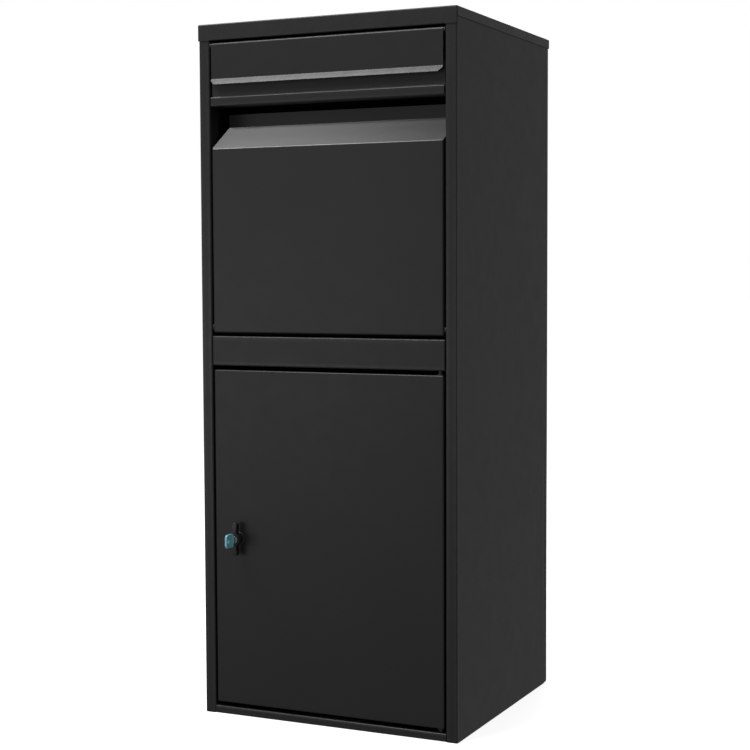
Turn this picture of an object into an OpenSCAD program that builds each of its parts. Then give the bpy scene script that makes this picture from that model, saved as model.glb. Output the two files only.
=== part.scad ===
// Free-standing parcel drop box in folded sheet steel. A letter flap hangs at the top, a parcel hopper
// tilts out below it, and a lockable door closes the collecting compartment.
// Origin: centre of the footprint on the floor. +Z up, -Y towards the person who uses it.

/* [Cabinet] */
// Width across the two side panels
cab_w = 410; // [360:5:490]
// Depth from the front face to the back face
cab_d = 380; // [370:5:440]
// Height from the floor to the top of the lid
cab_h = 1025; // [860:5:1150]
// Thickness of the body sheet
sheet = 1.5; // [1.2:0.1:1.8]
// Width of the upright stile at each side of the front
stile_w = 17.5; // [15:0.5:22]
// Depth of the returns folded back behind stiles and rails
return_d = 25; // [22:1:28]
// Side gap between a stile and the flap, hopper or door
side_gap = 3; // [2:0.5:4]

/* [Lid] */
// Thickness of the lid sheet
lid_t = 1.2; // [1:0.1:1.5]
// Height of the lid's front flange
lid_front = 24; // [20:1:30]
// Height of the lid's side and back flanges
lid_side = 14; // [10:1:20]

/* [Letter flap] */
// Height of the flat face, from the lip's bend to the hinge axis
flap_face = 49; // [44:1:60]
// Thickness of the flap sheet
flap_t = 1.2; // [1:0.1:1.4]
// Outer radius of the curl rolled round the hinge rod
curl_r = 4; // [3.8:0.1:5]
// Gap between the curl and the lid's flange
flap_gap = 3; // [2:0.5:5]
// Height of the pull lip below the bend
lip_drop = 9; // [6:1:14]
// How far the pull lip stands out of the front face
lip_out = 5; // [3:0.5:9]
// Radius of the hinge rod
rod_r = 2; // [1.5:0.1:2.4]

/* [Rails] */
// Clear height between the pull lip and the hood rail
lip_gap = 17; // [12:1:24]
// Height of the hood rail's face
hood_h = 14; // [10:1:20]
// Height of the middle rail's face
mid_rail_h = 44; // [36:1:56]
// Height of the bottom rail's face
base_rail_h = 12; // [12:1:24]
// Open slot at each end of a rail
rail_slot = 1.5; // [1:0.5:2.5]

/* [Parcel hopper] */
// Height of the hopper's front panel
hopper_h = 270; // [225:5:290]
// Gap between the middle rail and the hopper
hopper_gap = 5; // [4:0.5:8]
// Height of the grip recess above the front panel
recess_h = 62; // [60:1:70]
// Depth of the grip's sloping face
ramp_d = 52; // [46:1:58]
// Rise of the grip's sloping face
ramp_rise = 35; // [28:1:36]
// Height of the upstand behind the grip
upstand_h = 19; // [12:1:19]
// Length of the tray's sloping floor
tray_l = 225; // [200:5:225]
// Angle of the tray's floor below the level
tray_angle = 40; // [36:1:44]
// Angle the hopper tilts out by
hopper_swing = 45; // [35:1:48]
// Radius of the stop slot's centre line
slot_r = 150; // [130:5:170]

/* [Door] */
// Gap above and below the door
door_gap = 6; // [5:0.5:8]
// Depth of the folds round the door
door_d = 18; // [16:1:20]
// Distance of the lock from the door's free edge
lock_in = 40; // [36:1:46]
// Distance of the door's pivot from its hinged edge
pivot_side = 6.5; // [6.5:0.1:7]
// Distance of the door's pivot from the front face
pivot_in = 6; // [5.8:0.1:6.4]

/* [Lock] */
// Length of the wing handle
wing_l = 50; // [44:1:56]
// Width of the wing handle
wing_w = 9; // [7:0.5:10]
// Length of the cam from the lock's axis
cam_l = 48; // [45:1:50]
// Height of the key's head
bow_h = 20; // [16:1:26]
// Length of the key's head
bow_l = 21; // [16:1:26]

/* [Mounting] */
// Hole-to-hole width of the floor anchors
anchor_w = 300; // [260:5:310]
// Hole-to-hole depth of the floor anchors
anchor_d = 260; // [220:5:270]
// Radius of a floor anchor hole
anchor_r = 5.5; // [4:0.5:6.5]
// Hole-to-hole width of the wall screws
wall_w = 280; // [240:5:300]
// Hole-to-hole height of the wall screws
wall_h = 700; // [650:5:720]
// Distance of the upper wall screws below the top of the lid
wall_top = 125; // [100:5:140]
// Radius of a wall screw hole
wall_r = 4.5; // [3:0.5:5]

/* [Hidden] */
$fn = 64;

// Colours
coat = [0.06, 0.06, 0.065];
zinc = [0.62, 0.64, 0.66];
steel = [0.75, 0.75, 0.77];
rubber = [0.03, 0.03, 0.03];
nylon = [0.1, 0.1, 0.1];
blackened = [0.16, 0.16, 0.17];
black = [0.02, 0.02, 0.022];
blue = [0.35, 0.75, 0.86];

// Fits
run = 0.05;
seat = 0.3;
cut = 0.5;

// Plan lines
hw = cab_w / 2;
front_y = -cab_d / 2;
back_y = cab_d / 2;
stile_x = hw - stile_w;
leaf_x = stile_x - side_gap;
rail_x = stile_x - rail_slot;
cheek_x = leaf_x - 2 * sheet;
lap = 12;
seam_y = back_y - lap - 0.5;
pan_back = seam_y - sheet;
return_y = front_y + return_d;

// Heights, worked down from the lid and up from the floor
top_z = cab_h - lid_t;
lid_z = cab_h - lid_front;
flap_axis_z = lid_z - flap_gap - curl_r;
flap_axis_y = front_y + curl_r;
flap_z = flap_axis_z - flap_face;
lip_z = flap_z - lip_drop;
hood_z1 = lip_z - lip_gap;
hood_z0 = hood_z1 - hood_h;
hop_z1 = hood_z0 - recess_h;
hop_z0 = hop_z1 - hopper_h;
mid_z1 = hop_z0 - hopper_gap;
mid_z0 = mid_z1 - mid_rail_h;
door_z1 = mid_z0 - door_gap;
door_z0 = base_rail_h + door_gap;

wall_z = cab_h - wall_top;

// Letter sill behind the flap
sill_y = front_y + 4.5;
sill_z = flap_z + 8;
sill_d = 14;

// Mail chute and guard plate
chute_y = return_y - 5;
chute_end = back_y - 70;
chute_top = sill_z - sheet;
chute_drop = 140;
chute_wall = 14;
guard_end = back_y - 115;
guard_low = hop_z0 + 27;
guard_rise = 80;
nut_rows = [0.2, 0.55, 0.9];

// Hopper
hinge_y = front_y + 7;
hinge_z = hop_z0 + 8;
fold_d = 15;
ramp_slope = ramp_rise / ramp_d;
ramp_t = sheet * norm([ramp_d, ramp_rise]) / ramp_d;
upstand_z = hop_z1 + ramp_rise + upstand_h;
cheek_r = norm([ramp_d - 7, hopper_h + ramp_rise - 8]) - 4;
cheek_low_r = 235;
cheek_split = 40;
pin_r = 3;
bush_r = 4.5;
stud_angle = 75;
stud_r = 4;
sleeve_r = 5.4;
slot_half = sleeve_r + 0.4;
rivet_r = 2;
rivet_steps = [0.15, 0.38, 0.62, 0.86];

// Door pivot and stop
pivot_x = leaf_x - pivot_side;
pivot_y = front_y + pivot_in;
bush_out = pivot_in - sheet - 0.1;
stop_y = front_y + door_d + 1.5;

// Lock
lock_x = -leaf_x + lock_in;
lock_z = (door_z0 + door_z1) / 2;
rosette_r = 10;
rosette_t = 3;
barrel_r = 8;
barrel_end = front_y + 22;
spindle_r = 4;
hub_r = 9;
hub_back = front_y - rosette_t - seat;
hub_front = front_y - 16;
plug_r = 5.5;
plug_back = hub_front + 8;
cam_y = front_y + 27;
cam_t = 2.5;
bow_y = hub_front - 2.5;

function ray(r, a) = [r * cos(a), r * sin(a)];
function chute_at(y) = chute_top - chute_drop * (y - chute_y) / (chute_end - chute_y);
function guard_at(y) = guard_low + guard_rise * (y - guard_end) / (back_y - sheet - guard_end);
function ramp_under(y) = hop_z1 - ramp_t + ramp_slope * (y - front_y);

// Box between two corners
module block(lo, hi) {
    translate(lo) cube(hi - lo);
}

// Outline drawn in Y and Z, carried along X
module across(x0, x1) {
    translate([x0, 0, 0]) rotate([90, 0, 90]) linear_extrude(x1 - x0) children();
}

module both_sides() {
    children();
    mirror([1, 0, 0]) children();
}

// Round bar along X through a point in Y and Z
module bar_x(r, x0, x1, y, z) {
    translate([x0, y, z]) rotate([0, 90, 0]) cylinder(r = r, h = x1 - x0);
}

// Round bar along Y through a point in X and Z
module bar_y(r, y0, y1, x, z) {
    translate([x, y0, z]) rotate([-90, 0, 0]) cylinder(r = r, h = y1 - y0);
}

module tube_x(r, bore, x0, x1, y, z) {
    difference() {
        bar_x(r, x0, x1, y, z);
        bar_x(bore, x0 - cut, x1 + cut, y, z);
    }
}

module sector(r, a0, a1) {
    intersection() {
        circle(r, $fn = 180);
        polygon([[0, 0], ray(2 * r, a0), ray(2 * r, (a0 + a1) / 2), ray(2 * r, a1)]);
    }
}

// Right side: skin, stile, return behind the stile, joggled tab under the back panel, lid flange
module side_panel() {
    difference() {
        union() {
            block([hw - sheet, front_y, 0], [hw, seam_y, top_z]);
            block([stile_x, front_y, 0], [hw, front_y + sheet, top_z]);
            block([stile_x, front_y, 0], [stile_x + sheet, return_y, top_z]);
            block([hw - 2 * sheet, pan_back, 0], [hw - sheet, back_y - sheet, top_z]);
            block([hw - 20, return_y + 5, top_z - sheet], [hw, pan_back - 10, top_z]);
        }
        bar_x(rod_r + run, stile_x - cut, stile_x + sheet + cut, flap_axis_y, flap_axis_z);
        bar_x(bush_r + run, stile_x - cut, stile_x + sheet + cut, hinge_y, hinge_z);
    }
}

module left_side() {
    color(coat) mirror([1, 0, 0]) side_panel();
}

module right_side() {
    color(coat) side_panel();
}

module back_panel() {
    color(coat) difference() {
        union() {
            block([-hw, back_y - sheet, 0], [hw, back_y, top_z]);
            both_sides() block([hw - sheet, back_y - lap, 0], [hw, back_y, top_z]);
            block([2 * sheet - hw, pan_back, 0], [hw - 2 * sheet, back_y, sheet]);
            block([2 * sheet - hw, back_y - 20, top_z - sheet], [hw - 2 * sheet, back_y, top_z]);
        }
        for (x = [-wall_w, wall_w] / 2, z = [wall_z, wall_z - wall_h])
            bar_y(wall_r, back_y - sheet - cut, back_y + cut, x, z);
    }
}

// Floor tray: the bottom rail is its front flange
module base_pan() {
    pan_wall = 30;
    pan_t = 2;
    color(coat) difference() {
        union() {
            block([-stile_x, front_y, 0], [stile_x, pan_back, pan_t]);
            block([sheet - hw, return_y, 0], [hw - sheet, pan_back, pan_t]);
            block([-stile_x, front_y, 0], [stile_x, front_y + sheet, base_rail_h]);
            block([-stile_x, front_y, base_rail_h - sheet], [stile_x, front_y + 14, base_rail_h]);
            both_sides()
                block([hw - 2 * sheet, return_y, 0], [hw - sheet, pan_back, pan_wall]);
            block([sheet - hw, pan_back - sheet, 0], [hw - sheet, pan_back, pan_wall]);
        }
        for (x = [-anchor_w, anchor_w] / 2, y = [-anchor_d, anchor_d] / 2)
            translate([x, y, -cut]) cylinder(r = anchor_r, h = pan_t + 2 * cut);
        translate([pivot_x, pivot_y, base_rail_h - sheet - cut])
            cylinder(r = pin_r + run, h = sheet + 2 * cut);
    }
}

module top_lid() {
    x = hw + lid_t;
    y0 = front_y - lid_t;
    y1 = back_y + lid_t;
    color(coat) {
        block([-x, y0, top_z], [x, y1, cab_h]);
        both_sides() block([hw, y0, cab_h - lid_side], [x, y1, cab_h]);
        block([-x, y0, lid_z], [x, front_y, cab_h]);
        block([-x, back_y, cab_h - lid_side], [x, y1, cab_h]);
        block([1 - stile_x, y0, lid_z], [stile_x - 1, front_y + 4, lid_z + lid_t]);
    }
}

// Tabs that close a rail's ends and meet the stiles' returns
module rail_ends(z0, z1) {
    both_sides() block([rail_x, front_y + 3, z0], [stile_x, return_y, z1]);
}

// Hood rail with the letter sill standing up behind it
module hood_rail() {
    color(coat) {
        block([-rail_x, front_y, hood_z0], [rail_x, front_y + sheet, hood_z1]);
        block([-rail_x, front_y, hood_z0], [rail_x, return_y, hood_z0 + sheet]);
        block([-rail_x, front_y, hood_z1 - sheet], [rail_x, sill_y + sheet, hood_z1]);
        block([-rail_x, sill_y, hood_z1 - sheet], [rail_x, sill_y + sheet, sill_z]);
        block([-rail_x, sill_y, sill_z - sheet], [rail_x, sill_y + sill_d, sill_z]);
        rail_ends(hood_z0, hood_z1);
    }
}

module middle_rail() {
    color(coat) difference() {
        union() {
            block([-rail_x, front_y, mid_z0], [rail_x, front_y + sheet, mid_z1]);
            block([-rail_x, front_y, mid_z1 - sheet], [rail_x, front_y + 12, mid_z1]);
            block([-rail_x, front_y, mid_z0], [rail_x, return_y, mid_z0 + sheet]);
            rail_ends(mid_z0, mid_z1);
        }
        translate([pivot_x, pivot_y, mid_z0 - cut]) cylinder(r = pin_r + run, h = sheet + 2 * cut);
    }
}

// Sloping floor that carries letters over the hopper to the back
module mail_chute() {
    wide = hw - sheet;
    narrow = stile_x - 1;
    y_in = return_y + 2;
    lip = 12;
    floor_line = [
        [sill_y + sheet, chute_top], [chute_y, chute_top], [chute_end, chute_at(chute_end)],
        [chute_end, chute_at(chute_end) - lip], [chute_end - sheet, chute_at(chute_end) - lip],
        [chute_end - sheet, chute_at(chute_end - sheet) - sheet], [chute_y, chute_top - sheet],
        [sill_y + sheet, chute_top - sheet]
    ];
    color(coat) difference() {
        union() {
            across(-narrow, narrow) polygon(floor_line);
            intersection() {
                across(-wide, wide) polygon(floor_line);
                block([-hw, y_in, 0], [hw, back_y, cab_h]);
            }
            both_sides() across(wide - sheet, wide) polygon([
                [y_in, chute_at(y_in) - 1], [chute_end, chute_at(chute_end) - 1],
                [chute_end, chute_at(chute_end) + chute_wall], [y_in, chute_at(y_in) + chute_wall]
            ]);
        }
        both_sides() for (s = nut_rows)
            chute_stud(s, 2.4 + run);
    }
}

module chute_stud(s, r) {
    y = chute_y + s * (chute_end - chute_y);
    bar_x(r, hw - sheet - 7, hw - sheet, y, chute_at(y) + chute_wall / 2);
}

// Sloping plate on the back panel that keeps hands out of the compartment
module guard_plate() {
    x = hw - 2 * sheet;
    hem = 10;
    wall = back_y - sheet;
    color(zinc) difference() {
        across(-x, x) polygon([
            [wall, guard_at(wall) - sheet], [wall, guard_at(wall) + 16],
            [wall - sheet, guard_at(wall) + 16], [wall - sheet, guard_at(wall - sheet)],
            [guard_end, guard_low], [guard_end, guard_low - hem],
            [guard_end + sheet, guard_low - hem], [guard_end + sheet, guard_at(guard_end) - sheet]
        ]);
        for (s = [-1, 0, 1])
            guard_stud(s, 2.4 + run);
    }
}

module guard_stud(s, r) {
    bar_y(r, back_y - sheet - 7, back_y - sheet, s * (hw - 50), guard_at(back_y - sheet) + 8);
}

// Weld studs with their nuts, for the chute and the guard plate
module shelf_nuts() {
    nut_t = 3.2;
    color(steel) {
        both_sides() for (s = nut_rows) {
            y = chute_y + s * (chute_end - chute_y);
            chute_stud(s, 2.4);
            translate([hw - 2 * sheet - nut_t, y, chute_at(y) + chute_wall / 2])
                rotate([0, 90, 0]) cylinder(r = 4.6, h = nut_t, $fn = 6);
        }
        for (s = [-1, 0, 1]) {
            guard_stud(s, 2.4);
            translate([s * (hw - 50), back_y - 2 * sheet - nut_t, guard_at(back_y - sheet) + 8])
                rotate([-90, 0, 0]) cylinder(r = 4.6, h = nut_t, $fn = 6);
        }
    }
}

// Angle on the left stile that the door closes against and the cam locks behind
module door_stop() {
    color(coat) {
        block([-stile_x, stop_y, door_z0 + 12], [16 - stile_x, stop_y + sheet, door_z1 - 12]);
        block([-stile_x, stop_y, door_z0 + 12], [sheet - stile_x, return_y, door_z1 - 12]);
    }
}

module door_buffers() {
    color(rubber) for (s = [0.12, 0.5, 0.88])
        bar_y(4, stop_y - 1.2, stop_y, 6 - stile_x, door_z0 + s * (door_z1 - door_z0));
}

module flap_buffers() {
    color(rubber) both_sides()
        bar_y(3, front_y + flap_t + seat, sill_y, leaf_x - 20, sill_z - 3.5);
}

module floor_mat() {
    color(rubber) difference() {
        block([25 - hw, return_y + 10, 2], [hw - 25, pan_back - 8, 5]);
        for (x = [-anchor_w, anchor_w] / 2, y = [-anchor_d, anchor_d] / 2)
            translate([x, y, 1]) cylinder(r = 14, h = 5);
    }
}

// Rod that runs through both returns and ends just short of the side panels
module flap_rod() {
    x = hw - sheet - 0.5;
    color(blackened) bar_x(rod_r, -x, x, flap_axis_y, flap_axis_z);
}

module flap_spacers() {
    color(nylon) both_sides()
        tube_x(curl_r - 0.2, rod_r + run, leaf_x + seat, stile_x - seat, flap_axis_y, flap_axis_z);
}

// Flanged nylon bushes in the stiles' returns, for the hopper's pins
module pivot_bushes() {
    color(nylon) both_sides() difference() {
        union() {
            bar_x(bush_r, stile_x - 1, stile_x + sheet + 2, hinge_y, hinge_z);
            bar_x(bush_r + 0.8, leaf_x + seat, stile_x, hinge_y, hinge_z);
        }
        bar_x(pin_r + run, leaf_x, stile_x + sheet + 3, hinge_y, hinge_z);
    }
}

// Shouldered studs on the side panels that limit the hopper's swing
module stop_studs() {
    at = ray(slot_r, stud_angle);
    color(steel) both_sides() {
        bar_x(9, hw - sheet - 3, hw - sheet, hinge_y + at[0], hinge_z + at[1]);
        bar_x(stud_r, cheek_x - 2.5, hw - sheet - 1, hinge_y + at[0], hinge_z + at[1]);
        bar_x(7.5, cheek_x - 4, cheek_x - 1.5, hinge_y + at[0], hinge_z + at[1]);
    }
}

module stop_sleeves() {
    at = ray(slot_r, stud_angle);
    color(rubber) both_sides()
        tube_x(sleeve_r, stud_r + run, cheek_x - 1.2, hw - sheet - 3.2,
            hinge_y + at[0], hinge_z + at[1]);
}

// Headed pins that the door turns on
module door_pins() {
    color(blackened) translate([pivot_x, pivot_y, 0]) {
        translate([0, 0, door_z1 - 10]) cylinder(r = pin_r, h = door_gap + 10 + sheet);
        translate([0, 0, mid_z0 + sheet]) cylinder(r = bush_out, h = 2);
        translate([0, 0, base_rail_h - sheet]) cylinder(r = pin_r, h = door_gap + 10 + sheet);
        translate([0, 0, base_rail_h - sheet - 2]) cylinder(r = bush_out, h = 2);
    }
}

// Flap face with its curl, and the pull lip bent outwards below
module mail_flap() {
    color(coat) difference() {
        union() {
            block([-leaf_x, front_y, flap_z], [leaf_x, front_y + flap_t, flap_axis_z]);
            bar_x(curl_r, -leaf_x, leaf_x, flap_axis_y, flap_axis_z);
            pull_lip();
        }
        bar_x(rod_r + run, -leaf_x - cut, leaf_x + cut, flap_axis_y, flap_axis_z);
    }
}

// Lip in two bends, with its ends cut back
module pull_lip() {
    end_cut = 7;
    x0 = leaf_x - end_cut;
    intersection() {
        across(-leaf_x, leaf_x) polygon([
            [front_y + flap_t, flap_z], [front_y, flap_z], [front_y - lip_out, lip_z],
            [front_y - lip_out + flap_t, lip_z]
        ]);
        translate([0, back_y, 0]) rotate([90, 0, 0]) linear_extrude(cab_d + 50) polygon([
            [-leaf_x, flap_z], [-leaf_x, flap_z - 3], [-x0, lip_z], [x0, lip_z],
            [leaf_x, flap_z - 3], [leaf_x, flap_z]
        ]);
    }
}

module rivet_bars(r, x0, x1) {
    for (s = rivet_steps)
        bar_x(r, x0, x1, front_y + 10, hop_z0 + s * hopper_h);
}

module hopper_front() {
    color(coat) {
        block([-leaf_x, front_y, hop_z0], [leaf_x, front_y + sheet, hop_z1 - ramp_t]);
        block([-leaf_x, front_y, hop_z0], [leaf_x, front_y + fold_d, hop_z0 + sheet]);
        both_sides() difference() {
            across(leaf_x - sheet, leaf_x) polygon([
                [front_y, hop_z0], [front_y + fold_d, hop_z0],
                [front_y + fold_d, ramp_under(front_y + fold_d)], [front_y, ramp_under(front_y)]
            ]);
            bar_x(pin_r + run, cheek_x, leaf_x + cut, hinge_y, hinge_z);
            rivet_bars(rivet_r + run, cheek_x, leaf_x + cut);
        }
    }
}

// Sloping grip folded over the front panel, with an upstand at its inner edge
module grip_ramp() {
    y1 = front_y + ramp_d;
    color(coat) across(-leaf_x, leaf_x) polygon([
        [front_y, hop_z1], [y1, hop_z1 + ramp_rise], [y1, upstand_z], [y1 + sheet, upstand_z],
        [y1 + sheet, ramp_under(y1 + sheet)], [front_y, hop_z1 - ramp_t]
    ]);
}

module hopper_tray() {
    fold_z = hop_z0 + 2 * sheet;
    run_out = [tray_l * cos(tray_angle), -tray_l * sin(tray_angle)];
    start = [front_y + fold_d, fold_z];
    color(coat) across(-cheek_x, cheek_x) polygon([
        [front_y + sheet, fold_z], start, start + run_out, start + run_out - [0, sheet],
        start - [0, sheet], [front_y + sheet, fold_z - sheet]
    ]);
}

// Right cheek: closes the hopper's side and carries the stop slot
module cheek() {
    reach = 400;
    stud_at = ray(slot_r, stud_angle);
    far_at = ray(slot_r, stud_angle - hopper_swing);
    difference() {
        across(cheek_x, cheek_x + sheet) translate([hinge_y, hinge_z]) difference() {
            intersection() {
                union() {
                    sector(cheek_r, cheek_split, 90.5);
                    sector(cheek_low_r, -tray_angle, cheek_split + 0.5);
                    circle(9);
                    polygon([[-9, 0], [0, 0], ray(cheek_r, 90), [-9, cheek_r]]);
                }
                translate([-hinge_y, -hinge_z]) polygon([
                    [front_y + sheet, hop_z0 + sheet], [front_y + fold_d, hop_z0 + sheet],
                    [front_y + fold_d, hop_z0 - reach], [back_y, hop_z0 - reach],
                    [back_y, ramp_under(back_y)], [front_y + sheet, ramp_under(front_y + sheet)]
                ]);
            }
            intersection() {
                difference() {
                    circle(slot_r + slot_half, $fn = 120);
                    circle(slot_r - slot_half, $fn = 120);
                }
                polygon([[0, 0], 2 * far_at, 2 * ray(slot_r, stud_angle - hopper_swing / 2),
                    2 * stud_at]);
            }
            translate(stud_at) circle(slot_half);
            translate(far_at) circle(slot_half);
        }
        bar_x(pin_r + run, cheek_x - cut, leaf_x, hinge_y, hinge_z);
        rivet_bars(rivet_r + run, cheek_x - cut, leaf_x);
    }
}

module left_cheek() {
    color(coat) mirror([1, 0, 0]) cheek();
}

module right_cheek() {
    color(coat) cheek();
}

module hopper_pivots() {
    color(blackened) both_sides()
        bar_x(pin_r, cheek_x, stile_x + sheet + 3, hinge_y, hinge_z);
}

module hopper_rivets() {
    color(steel) both_sides() {
        rivet_bars(rivet_r, cheek_x - 1, leaf_x);
        rivet_bars(rivet_r + 2, cheek_x - 1.3, cheek_x);
    }
}

// Door folded from one sheet, with a hole for the lock
module door_skin() {
    y1 = front_y + door_d;
    color(coat) difference() {
        union() {
            block([-leaf_x, front_y, door_z0], [leaf_x, front_y + sheet, door_z1]);
            both_sides() block([leaf_x - sheet, front_y, door_z0], [leaf_x, y1, door_z1]);
            block([-leaf_x, front_y, door_z1 - sheet], [leaf_x, y1, door_z1]);
            block([-leaf_x, front_y, door_z0], [leaf_x, y1, door_z0 + sheet]);
        }
        bar_y(barrel_r + run, front_y - cut, front_y + sheet + cut, lock_x, lock_z);
        for (z = [door_z0, door_z1 - sheet])
            translate([pivot_x, pivot_y, z - cut])
                cylinder(r = bush_out + run, h = sheet + 2 * cut);
    }
}

// Hat channel down the middle of the door's inside
module door_stiffener() {
    t = 1.2;
    y0 = front_y + sheet;
    z0 = door_z0 + 24;
    z1 = door_z1 - 24;
    color(zinc) {
        both_sides() block([20, y0, z0], [34, y0 + t, z1]);
        both_sides() block([20, y0, z0], [20 + t, y0 + 13, z1]);
        block([-20 - t, y0 + 13 - t, z0], [20 + t, y0 + 13, z1]);
    }
}

module door_bush() {
    difference() {
        union() {
            translate([0, 0, -8]) cylinder(r = bush_out, h = 8);
            cylinder(r = bush_out + 0.5, h = 2);
        }
        translate([0, 0, -9]) cylinder(r = pin_r + run, h = 12);
    }
}

module door_bushes() {
    color(nylon) translate([pivot_x, pivot_y, 0]) {
        translate([0, 0, door_z1]) door_bush();
        translate([0, 0, door_z0]) mirror([0, 0, 1]) door_bush();
    }
}

module lock_rosette() {
    color(black) difference() {
        translate([lock_x, front_y, lock_z]) rotate([90, 0, 0]) union() {
            cylinder(r = rosette_r, h = rosette_t - 1);
            translate([0, 0, rosette_t - 1]) cylinder(r1 = rosette_r, r2 = rosette_r - 1, h = 1);
        }
        bar_y(barrel_r + run, front_y - rosette_t - cut, front_y + cut, lock_x, lock_z);
    }
}

module lock_barrel() {
    color(steel) difference() {
        bar_y(barrel_r, front_y - rosette_t + 0.5, barrel_end, lock_x, lock_z);
        bar_y(spindle_r + run, front_y - rosette_t, barrel_end + cut, lock_x, lock_z);
    }
}

module lock_nut() {
    y = front_y + sheet;
    color(steel) difference() {
        translate([lock_x, y, lock_z]) rotate([-90, 0, 0]) cylinder(r = 12.7, h = 4, $fn = 6);
        bar_y(barrel_r + run, y - cut, y + 4 + cut, lock_x, lock_z);
    }
}

// Wing handle with a round hub; the hub is bored for the key plug
module lock_handle() {
    end_r = wing_w / 2;
    reach = wing_l / 2 - end_r;
    wing_back = hub_back - 3;
    color(black) difference() {
        union() {
            bar_y(hub_r, hub_front, hub_back, lock_x, lock_z);
            block([lock_x - end_r, hub_front, lock_z - reach],
                [lock_x + end_r, wing_back, lock_z + reach]);
            for (s = [-1, 1])
                bar_y(end_r, hub_front, wing_back, lock_x, lock_z + s * reach);
        }
        bar_y(plug_r + run, hub_front - cut, plug_back, lock_x, lock_z);
        bar_y(spindle_r + run, plug_back - cut, hub_back + cut, lock_x, lock_z);
    }
}

module lock_spindle() {
    color(steel) bar_y(spindle_r, plug_back + 0.2, cam_y + cam_t, lock_x, lock_z);
}

module lock_cam() {
    color(steel) difference() {
        union() {
            bar_y(8, cam_y, cam_y + cam_t, lock_x, lock_z);
            block([lock_x - 8, cam_y, lock_z - cam_l], [lock_x + 8, cam_y + cam_t, lock_z]);
        }
        bar_y(spindle_r + run, cam_y - cut, cam_y + cam_t + cut, lock_x, lock_z);
    }
}

module cam_screw() {
    y = cam_y + cam_t;
    color(steel) {
        bar_y(7, y, y + 1, lock_x, lock_z);
        translate([lock_x, y + 1, lock_z]) rotate([-90, 0, 0]) cylinder(r = 5.6, h = 4, $fn = 6);
    }
}

// Key plug with its keyway
module lock_plug() {
    color(steel) difference() {
        bar_y(plug_r, hub_front - 0.5, plug_back - 0.3, lock_x, lock_z);
        block([lock_x - 1.2, hub_front - 2, lock_z - 3.6],
            [lock_x + 1.2, plug_back - 1, lock_z + 3.6]);
    }
}

module key_blade() {
    color(steel) block([lock_x - 0.9, bow_y, lock_z - 3.3], [lock_x + 0.9, plug_back - 1.5, lock_z + 3.3]);
}

// Moulded head of the key, with a hole for the ring
module key_bow() {
    corner = 5;
    color(blue) difference() {
        translate([lock_x - 1.7, 0, lock_z]) across(0, 3.4) difference() {
            union() {
                translate([bow_y - bow_l + corner, corner - bow_h / 2])
                    square([bow_l - corner, bow_h - 2 * corner]);
                translate([bow_y - bow_l, corner - bow_h / 2]) square([corner, bow_h - 2 * corner]);
                translate([bow_y - bow_l + corner, -bow_h / 2]) square([bow_l - 2 * corner, bow_h]);
                for (y = [bow_y - bow_l + corner, bow_y - corner], z = [-1, 1])
                    translate([y, z * (bow_h / 2 - corner)]) circle(corner);
            }
            translate([bow_y - bow_l + 5.5, 0]) circle(2.6);
        }
    }
}

left_side();
right_side();
back_panel();
base_pan();
top_lid();
hood_rail();
middle_rail();
mail_chute();
guard_plate();
shelf_nuts();
door_stop();
door_buffers();
flap_buffers();
floor_mat();
flap_rod();
flap_spacers();
pivot_bushes();
stop_studs();
stop_sleeves();
door_pins();
mail_flap();
hopper_front();
grip_ramp();
hopper_tray();
left_cheek();
right_cheek();
hopper_pivots();
hopper_rivets();
door_skin();
door_stiffener();
door_bushes();
lock_rosette();
lock_barrel();
lock_nut();
lock_handle();
lock_spindle();
lock_cam();
cam_screw();
lock_plug();
key_blade();
key_bow();
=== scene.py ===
import math

import bmesh
import bpy
import numpy as np
from mathutils import Matrix, Vector


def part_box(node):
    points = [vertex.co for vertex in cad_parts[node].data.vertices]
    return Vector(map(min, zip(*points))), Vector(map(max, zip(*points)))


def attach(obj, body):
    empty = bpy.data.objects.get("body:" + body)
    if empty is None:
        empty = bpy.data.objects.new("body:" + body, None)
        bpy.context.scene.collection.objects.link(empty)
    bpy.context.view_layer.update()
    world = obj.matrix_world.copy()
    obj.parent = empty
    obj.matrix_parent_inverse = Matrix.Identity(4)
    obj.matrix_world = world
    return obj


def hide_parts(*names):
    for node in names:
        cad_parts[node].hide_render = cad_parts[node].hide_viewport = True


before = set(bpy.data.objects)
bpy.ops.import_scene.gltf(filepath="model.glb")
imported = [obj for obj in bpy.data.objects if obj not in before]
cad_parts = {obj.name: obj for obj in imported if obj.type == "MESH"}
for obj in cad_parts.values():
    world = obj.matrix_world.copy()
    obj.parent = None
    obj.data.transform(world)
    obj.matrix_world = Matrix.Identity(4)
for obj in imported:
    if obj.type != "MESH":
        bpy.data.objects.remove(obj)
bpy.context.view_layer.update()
mm = 0.001

# ---- Studio ----
# A long lens a little over two metres away, right of the box and level with its hopper. A broad
# softbox hangs over the front, with weaker ones in front, beside and behind, in a white room with
# a pale matt floor.

camera = bpy.data.objects.new("camera", bpy.data.cameras.new("camera"))
camera.data.sensor_width = 36.0
camera.data.lens = 77.84
yaw, pitch, roll = math.radians(25.17), math.radians(-3.748), math.radians(-0.2316)
camera.matrix_world = (
    Matrix.Translation((1.0542, -2.2645, 0.6664))
    @ Matrix.Rotation(yaw, 4, "Z")
    @ Matrix.Rotation(math.pi / 2 + pitch, 4, "X")
    @ Matrix.Rotation(roll, 4, "Z")
)
bpy.context.scene.collection.objects.link(camera)
bpy.context.scene.camera = camera
bpy.context.scene.view_settings.view_transform = "Standard"


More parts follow.
